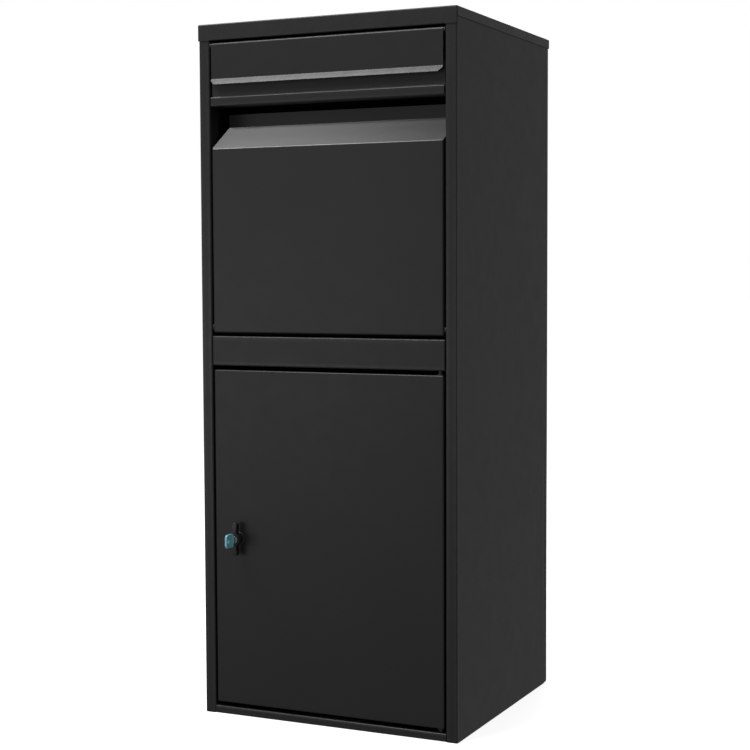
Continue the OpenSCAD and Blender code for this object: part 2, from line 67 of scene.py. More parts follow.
def softbox(name, place, target, size, power):
    """Rectangular area light at a place, facing a target."""
    lamp = bpy.data.lights.new(name, "AREA")
    lamp.shape = "RECTANGLE"
    lamp.size, lamp.size_y = size
    lamp.energy = power
    light = bpy.data.objects.new(name, lamp)
    light.location = place
    light.rotation_euler = (Vector(target) - Vector(place)).to_track_quat("-Z", "Y").to_euler()
    bpy.context.scene.collection.objects.link(light)
    return light


softbox("overhead softbox", (-0.85, -0.98, 2.55), (0, -0.19, 0.85), (1.6, 0.8), 38)
softbox("front softbox", (-1.45, -2.4, 0.40), (0, -0.19, 0.38), (1.3, 0.75), 4.8)
softbox("side softbox", (2.4, 0.6, 0.45), (0.2, 0, 0.15), (1.0, 0.7), 3)
softbox("rear softbox", (-0.7, 2.5, 2.0), (0, 0.19, 0.55), (1.4, 1.4), 24)

room = bpy.data.worlds.new("room")
room.use_nodes = True
bpy.context.scene.world = room


def add_node(tree, kind, inputs, **settings):
    """Adds a shader node. An input given as a socket is linked, and any other is set as a value."""
    made = tree.nodes.new("ShaderNode" + kind)
    for key, value in settings.items():
        setattr(made, key, value)
    feed(tree, made, inputs)
    return made


def feed(tree, made, inputs):
    """Links or sets the named inputs of a node."""
    for key, value in inputs.items():
        if isinstance(value, bpy.types.NodeSocket):
            tree.links.new(value, made.inputs[key])
        else:
            made.inputs[key].default_value = value


paper_white = (1.0, 1.0, 1.0, 1.0)
room_fill = 0.27
room_tree = room.node_tree
wall = add_node(room_tree, "Background", {"Color": paper_white, "Strength": 1.0})
fill = add_node(room_tree, "Background", {"Color": paper_white, "Strength": room_fill})
seen = add_node(room_tree, "LightPath", {})
both = add_node(room_tree, "MixShader", {
    0: seen.outputs["Is Camera Ray"], 1: fill.outputs[0], 2: wall.outputs[0]})
room_tree.links.new(both.outputs[0], room_tree.nodes["World Output"].inputs["Surface"])


def new_finish(name, inputs):
    """Material with the shader's own sockets set. Returns it, its tree, its shader and its place."""
    material = bpy.data.materials.new(name)
    material.use_nodes = True
    tree = material.node_tree
    shader = tree.nodes["Principled BSDF"]
    feed(tree, shader, inputs)
    return material, tree, shader, tree.nodes.new("ShaderNodeTexCoord").outputs["Object"]


floor_finish, tree, shader, place = new_finish(
    "matt floor paint", {"Roughness": 0.9, "Emission Color": paper_white, "Emission Strength": 0.80})
mottle = add_node(tree, "TexNoise", {"Vector": place, "Scale": 3.0, "Detail": 3.0})
shade = add_node(tree, "ValToRGB", {"Fac": mottle.outputs["Fac"]})
shade.color_ramp.elements[0].color = (0.86, 0.86, 0.86, 1)
shade.color_ramp.elements[1].color = (0.90, 0.90, 0.90, 1)
feed(tree, shader, {"Base Color": shade.outputs["Color"]})
floor_half = 30.0
floor_mesh = bpy.data.meshes.new("floor")
floor_corners = floor_half * np.array([[-1, -1, 0], [1, -1, 0], [1, 1, 0], [-1, 1, 0]])
floor_mesh.from_pydata(floor_corners.tolist(), [], [[0, 1, 2, 3]])
floor_mesh.materials.append(floor_finish)
floor = bpy.data.objects.new("floor", floor_mesh)
bpy.context.scene.collection.objects.link(floor)
floor.visible_diffuse = floor.visible_glossy = False

# ---- Side panels ----
# Each side is one sheet of 1.5 mm steel folded on a press brake: a joggled tab under the back
# panel, the skin, the stile beside the openings and a return behind it. Powder coated in black.

sheet = 1.5 * mm
outer_bend = 2.4 * mm
inner_bend = 0.9 * mm
coat_dark = (0.0118, 0.0120, 0.0126, 1)
coat_pale = (0.0136, 0.0138, 0.0145, 1)


def noise(tree, place, scale, detail=2.0):
    """Cloudy pattern from 0 to 1, with about as many clouds in a metre as the scale says."""
    return add_node(tree, "TexNoise", {"Vector": place, "Scale": scale, "Detail": detail}).outputs["Fac"]


def mapped(tree, value, low, high, start=0.3, end=0.7):
    """Value carried from start..end to low..high, held at the ends."""
    inputs = {"Value": value, "From Min": start, "From Max": end, "To Min": low, "To Max": high}
    return add_node(tree, "MapRange", inputs).outputs["Result"]


def times(tree, a, b):
    """One value times another."""
    return add_node(tree, "Math", {0: a, 1: b}, operation="MULTIPLY").outputs[0]


def minus(tree, a, b):
    """One value less another."""
    return add_node(tree, "Math", {0: a, 1: b}, operation="SUBTRACT").outputs[0]


def blended(tree, factor, first, second):
    """Colour that goes from the first to the second as the factor goes from 0 to 1."""
    made = add_node(tree, "Mix", {}, data_type="RGBA")
    for socket, value in zip((made.inputs[0], made.inputs[6], made.inputs[7]), (factor, first, second)):
        if isinstance(value, bpy.types.NodeSocket):
            tree.links.new(value, socket)
        else:
            socket.default_value = value
    return made.outputs[2]


def raised(tree, height, depth, under=None):
    """Bump of a given depth in metres, on top of another one."""
    inputs = {"Height": height, "Distance": depth, "Strength": 1.0}
    if under is not None:
        inputs["Normal"] = under
    return add_node(tree, "Bump", inputs).outputs["Normal"]


def powder_coat():
    """Black polyester powder: orange peel a millimetre across over a finer grain, slow hollows in
    the sheet under it, and bends smoother than the flats and painted paler, partly as worn coat and partly as
    a painted highlight along each bend."""
    material, tree, shader, place = new_finish("black powder coat", {"Specular IOR Level": 0.42})
    cloud = noise(tree, place, 9.0, 4.0)
    peel = noise(tree, place, 820.0, 2.0)
    grain = noise(tree, place, 2600.0, 1.0)
    hollow = noise(tree, place, 5.5, 0.0)
    # Mask of the bends: worn coat, and a painted highlight where the bends catch the light
    rub_and_sheen = times(tree, add_node(tree, "Attribute", {}, attribute_name="wear_and_sheen").outputs["Fac"],
                mapped(tree, noise(tree, place, 160.0, 3.0), 0.35, 1.0))
    colour = blended(tree, mapped(tree, cloud, 0.0, 1.0), coat_dark, coat_pale)
    # Paler colour on the bends: partly worn coat, partly a painted highlight
    worn_and_highlight_colour = (0.034, 0.034, 0.036, 1)
    colour = blended(tree, times(tree, rub_and_sheen, 0.55), colour, worn_and_highlight_colour)
    rough = mapped(tree, noise(tree, place, 46.0, 3.0), 0.415, 0.455)
    rough = minus(tree, rough, times(tree, rub_and_sheen, 0.09))
    bump = raised(tree, hollow, 0.22 * mm)
    bump = raised(tree, peel, 0.028 * mm, bump)
    bump = raised(tree, grain, 0.010 * mm, bump)
    feed(tree, shader, {"Base Color": colour, "Roughness": rough, "Normal": bump})
    return material


coat = powder_coat()


def folded(corners, radius, fade=5 * mm, step=math.radians(13)):
    """Outline of a folded sheet: straight runs between the corners, each corner an arc of the bend
    radius that meets both runs at a tangent. Gives the points, and how exposed each one is: 1 on a
    bend, and 0 from a short way before and after it."""
    corners = np.asarray(corners, float)
    runs = np.diff(corners, axis=0)
    lengths = np.linalg.norm(runs, axis=1)
    ways = runs / lengths[:, None]
    crossed = ways[:-1, 0] * ways[1:, 1] - ways[:-1, 1] * ways[1:, 0]
    turns = np.arctan2(crossed, (ways[:-1] * ways[1:]).sum(1))
    radii = np.broadcast_to(radius, turns.shape)
    reach = radii * np.tan(np.abs(turns) / 2)
    free = lengths - np.append(reach, 0) - np.append(0, reach)
    lead = np.minimum(fade, 0.4 * free)
    points, wear_and_sheen = [corners[:1]], [[0.0]]
    for k, turn in enumerate(turns):
        way, corner = ways[k], corners[k + 1]
        spoke = -np.sign(turn) * radii[k] * np.array([-way[1], way[0]])
        centre = corner - reach[k] * way - spoke
        angle = np.linspace(0, turn, max(3, int(abs(turn) / step) + 2))[:, None]
        arc = centre + np.cos(angle) * spoke + np.sin(angle) * np.array([-spoke[1], spoke[0]])
        before = corner[None] - (reach[k] + lead[k]) * way
        after = corner[None] + (reach[k] + lead[k + 1]) * ways[k + 1]
        points += [before, arc, after]
        wear_and_sheen += [[0.0], np.ones(len(arc)), [0.0]]
    points.append(corners[-1:])
    wear_and_sheen.append([0.0])
    return np.concatenate(points), np.concatenate(wear_and_sheen)


def spread(x, y, z):
    """Three coordinates that vary along rows or columns, as one grid of points."""
    return np.stack(np.broadcast_arrays(x, y, z), -1).astype(float)


def grid(points, keep=None, wear_and_sheen=0.0, holes=()):
    """Quads between neighbouring points of a grid, where keep says so. A hole is (row, column,
    centre, radius): that quad is left out, and four faces join its corners to the hole's rim."""
    rows, cols = points.shape[:2]
    index = np.arange(rows * cols).reshape(rows, cols)
    kept = np.ones((rows - 1, cols - 1), bool) if keep is None else keep.copy()
    corners = np.stack([index[:-1, :-1], index[:-1, 1:], index[1:, 1:], index[1:, :-1]], -1)
    spots, exposed = [points.reshape(-1, 3)], [np.broadcast_to(wear_and_sheen, (rows, cols)).ravel()]
    rims, quarter = [], 7
    for row, col, centre, radius in holes:
        kept[row, col] = False
        across, along = points[row, col + 1] - points[row, col], points[row + 1, col] - points[row, col]
        across, along = across / np.linalg.norm(across), along / np.linalg.norm(along)
        turn = (np.linspace(0, 2 * np.pi, 4 * quarter + 1)[:-1] + 1.25 * np.pi)[:, None]
        start = sum(len(part) for part in spots)
        spots.append(np.asarray(centre) + radius * (np.cos(turn) * across + np.sin(turn) * along))
        # Hole rims count as partly exposed: the coat paints them paler, as worn coat and a painted highlight
        exposed.append(np.full(4 * quarter, 0.6))
        cell = corners[row, col]
        for side in range(4):
            rim = start + (np.arange((side + 1) * quarter, side * quarter - 1, -1) % (4 * quarter))
            rims.append([cell[side], cell[(side + 1) % 4], *rim])
    return np.concatenate(spots), corners[kept].tolist() + rims, np.concatenate(exposed)


def placed(name, mesh, finish):
    """Smooth object in one finish, at the origin, that holds a mesh."""
    mesh.shade_smooth()
    mesh.materials.clear()
    mesh.materials.append(finish)
    piece = bpy.data.objects.new(name, mesh)
    bpy.context.scene.collection.objects.link(piece)
    return piece


def rounded(piece, edge):
    """Rounds off the edges where faces meet at more than 42 degrees."""
    rounding = piece.modifiers.new("edges", "BEVEL")
    rounding.width, rounding.segments = edge, 2
    rounding.limit_method, rounding.angle_limit = "ANGLE", math.radians(42)
    return rounding


def shell(name, parts, finish, thickness=0.0, edge=0.35 * mm, closed=False, even=True):
    """One mesh from several grids, with coinciding points joined. A sheet gets its thickness
    behind its faces, and sharp edges are rounded off."""
    starts = np.cumsum([0] + [len(spots) for spots, faces, wear_and_sheen in parts])
    spots = np.concatenate([spots for spots, faces, wear_and_sheen in parts])
    faces = [[start + k for k in face] for start, part in zip(starts, parts) for face in part[1]]
    mesh = bpy.data.meshes.new(name)
    mesh.from_pydata(spots.tolist(), [], faces)
    # The bend mask goes on the mesh; the coat paints it paler, partly as worn coat and partly as a painted
    # highlight
    mesh.attributes.new("wear_and_sheen", "FLOAT", "POINT").data.foreach_set(
        "value", np.concatenate([wear_and_sheen for spots, faces, wear_and_sheen in parts]))
    loose = bmesh.new()
    loose.from_mesh(mesh)
    bmesh.ops.remove_doubles(loose, verts=loose.verts, dist=0.004 * mm)
    bmesh.ops.delete(loose, geom=[spot for spot in loose.verts if not spot.link_faces], context="VERTS")
    if closed:
        bmesh.ops.recalc_face_normals(loose, faces=loose.faces)
    loose.to_mesh(mesh)
    loose.free()
    piece = placed(name, mesh, finish)
    if thickness:
        wall = piece.modifiers.new("thickness", "SOLIDIFY")
        wall.thickness = thickness
        wall.offset = -1
        wall.use_even_offset = even
    if edge:
        rounded(piece, edge).miter_outer = "MITER_ARC"
    piece.modifiers.new("shading", "WEIGHTED_NORMAL").keep_sharp = False
    return piece


def stands_for(piece, body, slot, *nodes):
    """The piece moves with a body and stands for CAD nodes, which are hidden. The slot is not used."""
    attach(piece, body)
    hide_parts(*nodes)


def standing(plan, wear_and_sheen, *heights):
    """Outline seen from above, carried up through the given heights."""
    return grid(spread(plan[:, :1], plan[:, 1:], np.array(heights)), wear_and_sheen=wear_and_sheen[:, None])


low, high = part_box("right_side")
half, top = high.x, high.z
front, rear = low.y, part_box("back_panel")[1].y
stile = -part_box("door_stop")[0].x
return_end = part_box("hood_rail")[1].y
lap = 12 * mm
joggle_rear, joggle_front = rear - lap + 0.6 * mm, rear - lap - 0.9 * mm
lid_seat = 20 * mm
seat_from, seat_to = low.y + 30 * mm, high.y - 22.5 * mm
plan, wear_and_sheen = folded(
    [(half - sheet, high.y), (half - sheet, joggle_rear), (half, joggle_front), (half, front),
     (stile, front), (stile, return_end)],
    [inner_bend, outer_bend, outer_bend, outer_bend])
for name, side in (("left_side", -1), ("right_side", 1)):
    skin = standing(plan * (side, 1), wear_and_sheen, *(0, top)[::side])
    seat_x = side * np.array([[half - sheet], [half - lid_seat]])
    seat = grid(spread(seat_x, (seat_from, seat_to)[::side], top))
    panel = shell(name + "_panel", [skin, seat], coat, sheet)
    stands_for(panel, "cabinet", "black_powder_coat", name)

# ---- Back panel ----
# One sheet over the whole back, its edges folded forward over the side panels' tabs, with
# flanges to the lid and the floor and four holes for wall screws. Powder coated like the rest.


def stations(flat, radius, before=(), after=()):
    """One direction of a folded pan: lip, bend, flat, bend, lip. Each station has its place on
    the flat, how far its bend has turned (sine and cosine), and how far it lies beyond the bend.
    before and after are the lips' stations, measured from the face."""
    turn = np.radians(np.linspace(0, 90, 7))[1:]
    flat = np.asarray(flat, float)
    lips = []
    for place, way, depths in ((flat[0], -1, before), (flat[-1], 1, after)):
        deep = np.array(sorted(depths)) - radius
        bend = turn if len(deep) else turn[:0]
        lips.append(np.stack([
            np.full(len(bend) + len(deep), place), way * np.append(np.sin(bend), 1 + 0 * deep),
            np.append(np.cos(bend), 0 * deep), np.append(0 * bend, deep)]))
    middle = np.stack([flat, 0 * flat, 1 + 0 * flat, 0 * flat])
    return np.concatenate([lips[0][:, ::-1], middle, lips[1]], axis=1)


def pan(across, along, radius):
    """Flat sheet with its edges folded back. Both bends together give a sphere at a corner:
    sideways it is the sine of the first bend, and back from the face it is one less the product
    of the cosines. Returns two places on the face, the depth behind it, which quads there are
    between lips, and how exposed each point is on the bends, which the coat paints paler as worn coat and as
    a painted highlight."""
    a, b = across[:, :, None], along[:, None, :]
    first = a[0] + radius * a[1] + 0 * b[0]
    second = b[0] + radius * b[1] * a[2]
    depth = radius * (1 - a[2] * b[2]) + a[3] + b[3]
    beyond_a, beyond_b = (a[3] > 0)[:, 0], (b[3] > 0)[0]
    lips = np.add.outer(beyond_a[:-1] | beyond_a[1:], 2 * (beyond_b[:-1] | beyond_b[1:])) < 3
    return first, second, depth, lips, np.maximum(np.abs(a[1]) + 0 * b[1], np.abs(b[1]) + 0 * a[1])


def hole_lines(places, reach):
    """Grid lines a reach before and after each hole."""
    return np.sort(np.concatenate([np.asarray(places) - reach, np.asarray(places) + reach]))


low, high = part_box("back_panel")
wall_hole_x = 140 * mm
wall_holes_z = (200 * mm, 900 * mm)
wall_hole_r = 4.5 * mm
hole_cell = 12 * mm
lead = 5 * mm
foot_flange, top_flange = 14 * mm, 20 * mm


def flat_lines(start, end, radius, extra=()):
    """Grid lines on a pan's flat: both ends of the flat, a short lead from each, and any others."""
    ends = [start + radius, start + radius + lead, end - radius - lead, end - radius]
    return np.unique(np.concatenate([ends, np.asarray(extra, float).ravel()]))


holes_x = hole_lines((-wall_hole_x, wall_hole_x), hole_cell)
holes_z = hole_lines(wall_holes_z, hole_cell)
x_line = stations(flat_lines(low.x, high.x, outer_bend, holes_x), outer_bend, [lap], [lap])
z_line = stations(flat_lines(low.z, high.z, outer_bend, holes_z), outer_bend, [foot_flange], [top_flange])
x, z, depth, kept, wear_and_sheen = pan(x_line, z_line, outer_bend)


def holes_in(first_line, second_line, centres, radius):
    """The grid's holes: the cell that holds each centre, the centre itself and the radius."""
    flat_a, flat_b = np.where(first_line[1] == 0)[0], np.where(second_line[1] == 0)[0]
    found = []
    for a, b, spot in centres:
        row = flat_a[0] + np.searchsorted(first_line[0][flat_a], a) - 1
        col = flat_b[0] + np.searchsorted(second_line[0][flat_b], b) - 1
        found.append((row, col, spot, radius))
    return found


centres = [(hx, hz, (hx, high.y, hz)) for hx in (-wall_hole_x, wall_hole_x) for hz in wall_holes_z]
wall_holes = holes_in(x_line, z_line, centres, wall_hole_r)
back = shell("back_panel_sheet", [grid(spread(x, high.y - depth, z), kept, wear_and_sheen, wall_holes)], coat, sheet)
stands_for(back, "cabinet", "black_powder_coat", "back_panel")

# ---- Base pan ----
# The floor is a 2 mm steel pan with its sides and back turned up against the walls. Its front is
# folded up and back as the rail under the door. Four holes take the anchors to the ground.


def crosswise(side_view, wear_and_sheen, x):
    """Outline seen from the side, carried along X through the given places."""
    return grid(spread(x, side_view[:, :1], side_view[:, 1:]), wear_and_sheen=wear_and_sheen[:, None])


low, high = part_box("base_pan")
pan_sheet = 2 * mm
pan_bend = 2.8 * mm
base_rail, rail_lip = 12 * mm, 14 * mm
anchor_x, anchor_y, anchor_r = 150 * mm, 130 * mm, 5.5 * mm
x_flat = flat_lines(low.x, high.x, pan_bend, [-stile, stile, *hole_lines((-anchor_x, anchor_x), hole_cell)])
x_line = stations(x_flat, pan_bend, before=[high.z], after=[high.z])
y_flat = np.unique(np.r_[return_end, hole_lines((-anchor_y, anchor_y), hole_cell), high.y - pan_bend])
y_line = stations(y_flat, pan_bend, after=[high.z])
x, y, depth, kept, wear_and_sheen = pan(x_line, y_line, pan_bend)
anchors = [(ax, ay, (ax, ay, low.z)) for ax in (-anchor_x, anchor_x) for ay in (-anchor_y, anchor_y)]
pan_floor = grid(spread(x, y, low.z + depth), kept, wear_and_sheen, holes_in(x_line, y_line, anchors, anchor_r))
side_view, wear_and_sheen = folded(
    [(return_end, 0), (front, 0), (front, base_rail), (front + rail_lip, base_rail)], pan_bend)
rail_x_line = x_line[0][(x_line[1] == 0) & (np.abs(x_line[0]) < stile + 0.1 * mm)]
base = shell("base_pan_sheet", [pan_floor, crosswise(side_view, wear_and_sheen, rail_x_line)], coat, pan_sheet)
stands_for(base, "cabinet", "black_powder_coat", "base_pan")

# ---- Floor mat ----
# A loose moulded rubber mat with ribs from front to back, so parcels slide in easily. It has a
# plain border, and a plain pad round the opening over each floor anchor.

low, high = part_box("floor_mat")
rib_pitch, rib_top, rib_foot, groove = 6 * mm, 1.5 * mm, 2.1 * mm, 1.2 * mm
border, pad_half, pad_r, pad_gap = 7 * mm, 21 * mm, 14 * mm, 0.05 * mm
border_step = 1 * mm


def clouded(name, sockets, colours, patches, rough, gloss, grain, depth):
    """Finish that isn't quite even. Its colour goes between two in patches, its roughness goes
    between two values as the gloss noise does, and a grain stands up by the depth. Patches, gloss
    and grain are each a noise's scale and detail."""
    material, tree, shader, place = new_finish(name, sockets)
    feed(tree, shader, {
        "Base Color": blended(tree, mapped(tree, noise(tree, place, *patches), 0.0, 1.0), *colours),
        "Roughness": mapped(tree, noise(tree, place, *gloss), *rough),
        "Normal": raised(tree, noise(tree, place, *grain), depth),
    })
    return material


rubber_black = clouded(
    "black rubber", {"Specular IOR Level": 0.35}, patches=(30.0, 4.0),
    colours=((0.012, 0.012, 0.012, 1), (0.0228, 0.0228, 0.0228, 1)),
    rough=(0.68, 0.80), gloss=(90.0, 3.0), grain=(1500.0, 2.0), depth=0.05 * mm)
ribs = np.arange(low.x + border + rib_foot, high.x - border - rib_foot, rib_pitch)
rib_lines = ribs[:, None] + np.array([-rib_foot, -rib_top, rib_top, rib_foot])
x_lines = np.r_[low.x, low.x + border - rib_top, rib_lines.ravel(), high.x - border + rib_top, high.x]
in_groove = np.r_[0, 0, np.tile([1, 0, 0, 1], len(ribs)), 0, 0]
pads_y = hole_lines((-anchor_y, anchor_y), pad_half)
y_lines = np.sort(np.r_[low.y, low.y + border, low.y + border + border_step, pads_y,
                        high.y - border - border_step, high.y - border, high.y])
ribbed = (y_lines > low.y + border + border_step / 2) & (y_lines < high.y - border - border_step / 2)
drop = groove * in_groove[:, None] * ribbed[None, :]
middle_x, middle_y = (x_lines[:-1] + x_lines[1:]) / 2, (y_lines[:-1] + y_lines[1:]) / 2
near_x = np.abs(np.abs(middle_x) - anchor_x) < pad_half - rib_foot
near_y = np.abs(np.abs(middle_y) - anchor_y) < pad_half
left_out = near_x[:, None] & near_y[None, :]
ribbed_part = grid(spread(x_lines[:, None], y_lines[::-1], high.z - drop[:, ::-1]), ~left_out[:, ::-1])
pads = []
for ax in (-anchor_x, anchor_x):
    under = np.where(near_x & (np.sign(middle_x) == np.sign(ax)))[0]
    corner_x = [[x_lines[under[0]] + pad_gap], [x_lines[under[-1] + 1] - pad_gap]]
    for ay in (-anchor_y, anchor_y):
        corner_y = [ay + pad_half - pad_gap, ay - pad_half + pad_gap]
        pads.append(grid(spread(corner_x, corner_y, high.z), holes=[(0, 0, (ax, ay, high.z), pad_r)]))
mat = shell("ribbed_floor_mat", [ribbed_part, *pads], rubber_black, high.z - low.z - groove,
            edge=0, even=False)
stands_for(mat, "cabinet", "black_rubber", "floor_mat")

# ---- Lid ----
# A shallow pan of 1.2 mm steel turned over the top of the cabinet, 14 mm deep at the sides and
# back. Its front flange is deeper, and is folded in under itself between the stiles.

low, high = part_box("top_lid")
lid_sheet, lid_bend, lid_side = 1.2 * mm, 2.0 * mm, 14 * mm
lid_front = high.z - low.z
return_half = stile - 1 * mm
x_line = stations(flat_lines(low.x, high.x, lid_bend, (-return_half, return_half)), lid_bend,
                  before=[lid_side], after=[lid_side])
y_line = stations(flat_lines(low.y, high.y, lid_bend), lid_bend,
                  before=[lid_side, lid_front - lid_bend, lid_front], after=[lid_side])
x, y, depth, kept, wear_and_sheen = pan(x_line, y_line, lid_bend)
across = x[:, 0]
kept[:, 0] &= np.abs(across[:-1] + across[1:]) / 2 > return_half
lid_top = grid(spread(x, y, high.z - depth)[:, ::-1], kept[:, ::-1], wear_and_sheen[:, ::-1])
side_view, wear_and_sheen = folded([(front + 4 * mm, low.z), (low.y, low.z), (low.y, low.z + lid_bend)], lid_bend)
under_x = x_line[0][(x_line[1] == 0) & (np.abs(x_line[0]) < return_half + 0.1 * mm)]
lid = shell("lid_sheet", [lid_top, crosswise(side_view, wear_and_sheen, under_x)], coat, lid_sheet, edge=0.3 * mm)
stands_for(lid, "cabinet", "black_powder_coat", "top_lid")

# ---- Hood rail and middle rail ----
# Folded steel channels welded between the stiles, with an open slot at each end of the face. The
# hood rail's sheet goes on up behind the letter flap and ends in the sill that letters pass over.

low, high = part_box("hood_rail")
hood_face, sill_back, sill_deep = 14 * mm, 4.5 * mm, 14 * mm
rail_half = stile - 1.5 * mm
clear = 0.02 * mm
hood_top = low.z + hood_face
sill_z = high.z


def rail_parts(side_view, wear_and_sheen, bottom, height):
    """Folded channel between the stiles, and the upright tab that closes each of its ends."""
    parts = [crosswise(side_view, wear_and_sheen, [-rail_half, rail_half])]
    for side in (-1, 1):
        deep = [[front + 2 * sheet], [return_end]]
        parts.append(grid(spread(side * (rail_half + clear), deep, (bottom, bottom + height)[::side])))
    return parts


side_view, wear_and_sheen = folded(
    [(return_end, low.z), (front, low.z), (front, hood_top), (front + sill_back, hood_top),
     (front + sill_back, sill_z), (front + sill_back + sill_deep, sill_z)],
    [outer_bend, outer_bend, inner_bend, outer_bend])
hood = shell("hood_rail_sheet", rail_parts(side_view, wear_and_sheen, low.z, hood_face), coat, sheet)
stands_for(hood, "cabinet", "black_powder_coat", "hood_rail")

low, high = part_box("middle_rail")
ledge = 12 * mm
side_view, wear_and_sheen = folded(
    [(return_end, low.z), (front, low.z), (front, high.z), (front + ledge, high.z)], outer_bend)
rail = shell("middle_rail_sheet", rail_parts(side_view, wear_and_sheen, low.z, high.z - low.z), coat, sheet)
stands_for(rail, "cabinet", "black_powder_coat", "middle_rail")

# ---- Mail chute ----
# A sloping steel floor from the letter sill over the hopper to the back, with walls turned up at
# the sides and a lip turned down at the end. Letters slide down it and drop behind the hopper.

low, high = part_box("mail_chute")
chute_top, chute_y = sill_z - sheet, return_end - 5 * mm
chute_drop, chute_lip, chute_wall = 140 * mm, 12 * mm, 14 * mm
chute_slope = -chute_drop / (high.y - chute_y)
side_view, wear_and_sheen = folded(
    [(low.y, chute_top), (chute_y, chute_top), (high.y, chute_top - chute_drop),
     (high.y, chute_top - chute_drop - chute_lip)], outer_bend)
walls_from = return_end + 2 * mm
row = np.searchsorted(side_view[:, 0], walls_from)
side_view = np.insert(side_view, row, (walls_from, chute_top + chute_slope * (walls_from - chute_y)), 0)
wear_and_sheen = np.insert(wear_and_sheen, row, 0.0)
inner = high.x - sheet
section, wall_wear_and_sheen = folded([(-inner, chute_wall), (-inner, 0), (inner, 0), (inner, chute_wall)], inner_bend)
half_count = len(section) // 2
neck = np.array([[-return_half, 0], [return_half, 0]])
section = np.concatenate([section[:half_count], neck, section[half_count:]])
wall_wear_and_sheen = np.concatenate([wall_wear_and_sheen[:half_count], [0, 0], wall_wear_and_sheen[half_count:]])
middle = (section[:-1] + section[1:]) / 2
rows_y = side_view[:-1, 0]
in_neck = np.abs(middle[:, 0]) < return_half
level = middle[:, 1] == 0
kept = ((rows_y >= walls_from)[:, None] | in_neck) & ((rows_y < high.y - 3.5 * mm)[:, None] | level)
chute = shell("mail_chute_sheet", [grid(
    spread(section[:, 0], side_view[:, :1], side_view[:, 1:] + section[:, 1]), kept,
    np.maximum(wear_and_sheen[:, None], wall_wear_and_sheen))], coat, sheet)
stands_for(chute, "cabinet", "black_powder_coat", "mail_chute")

# ---- Guard plate ----
# A galvanised plate that rises to the back panel under the chute's end. With the tray it leaves
# room for a parcel to fall but not for an arm to reach in. Its front edge is turned down.


def galvanised():
    """Zinc-dipped sheet: crystals a few millimetres across, each with its own tone and its own
    gloss, under a faint dull bloom."""
    material, tree, shader, place = new_finish("galvanised sheet", {"Metallic": 1.0})
    warp = add_node(tree, "TexNoise", {"Vector": place, "Scale": 70.0, "Detail": 2.0})
    wander = (6 * mm, 6 * mm, 6 * mm)
    bent = add_node(tree, "VectorMath", {0: warp.outputs["Color"], 1: wander}, operation="MULTIPLY")
    spot = add_node(tree, "VectorMath", {0: place, 1: bent.outputs[0]}, operation="ADD")
    crystal = add_node(tree, "TexVoronoi", {"Vector": spot.outputs[0], "Scale": 130.0})
    tone = add_node(tree, "SeparateColor", {"Color": crystal.outputs["Color"]})
    feed(tree, shader, {
        "Base Color": blended(tree, tone.outputs[0], (0.43, 0.45, 0.47, 1), (0.60, 0.62, 0.64, 1)),
        "Roughness": mapped(tree, tone.outputs[1], 0.30, 0.46, 0.0, 1.0),
        "Normal": raised(tree, noise(tree, place, 900.0), 0.012 * mm),
    })
    return material


zinc_dipped = galvanised()
low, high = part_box("guard_plate")
guard_wall, guard_hem, guard_flange = high.y - sheet, 10 * mm, 17 * mm
side_view, wear_and_sheen = folded(
    [(guard_wall, high.z), (guard_wall, high.z - guard_flange), (low.y, low.z + guard_hem),
     (low.y, low.z)], [inner_bend, outer_bend])
guard = shell("guard_plate_sheet", [crosswise(side_view, wear_and_sheen, [high.x, low.x])], zinc_dipped, sheet)
stands_for(guard, "cabinet", "galvanised_sheet", "guard_plate")

# ---- Weld studs and nuts ----
# Threaded studs welded to the walls hold the chute and the guard plate. Each has a hexagon nut,
# chamfered at both ends. Bright zinc plate over steel.


def plated(name, dark, pale, rough):
    """Plated steel: a very fine grain, uneven gloss from handling, and a tint in patches."""
    return clouded(name, {"Metallic": 1.0}, (dark, pale), (120.0, 3.0), (rough, rough + 0.14),
                   (400.0, 3.0), (3200.0, 1.0), 0.006 * mm)


zinc = plated("bright zinc", (0.52, 0.54, 0.58, 1), (0.66, 0.68, 0.70, 1), 0.22)
axes = np.eye(3)
around = np.linspace(0, 2 * np.pi, 49)


def round_axis(along, reach, middle, axis):
    """Points round the axis through the middle: the middle, plus the distance along the axis, plus
    the reach times the cosine and the sine of the turn on the two ways across."""
    spokes = np.outer(np.cos(around), axes[(axis + 1) % 3]) + np.outer(np.sin(around), axes[(axis + 2) % 3])
    return grid(np.asarray(middle) + along[..., None] * axes[axis] + reach[..., None] * spokes)


def turned(outline, middle, axis):
    """Outline of (distance along the axis, radius) carried round the axis through a point."""
    outline = np.asarray(outline, float)
    return round_axis(outline[:, :1], outline[:, 1:], middle, axis)


def rod(radius, start, end, middle, axis, chamfer=0.4 * mm):
    """Solid round bar with rounded ends, between two places on its axis."""
    outline = folded([(start, 0), (start, radius), (end, radius), (end, 0)], chamfer)[0]
    return turned(outline, middle, axis)


def tube(radius, bore, start, end, middle, axis, chamfer=0.3 * mm):
    """Round tube with rounded rims, between two places on its axis."""
    half_way = (start + end) / 2
    outline = folded([(half_way, bore), (start, bore), (start, radius), (end, radius), (end, bore),
                      (half_way, bore)], chamfer)[0]
    return turned(outline, middle, axis)


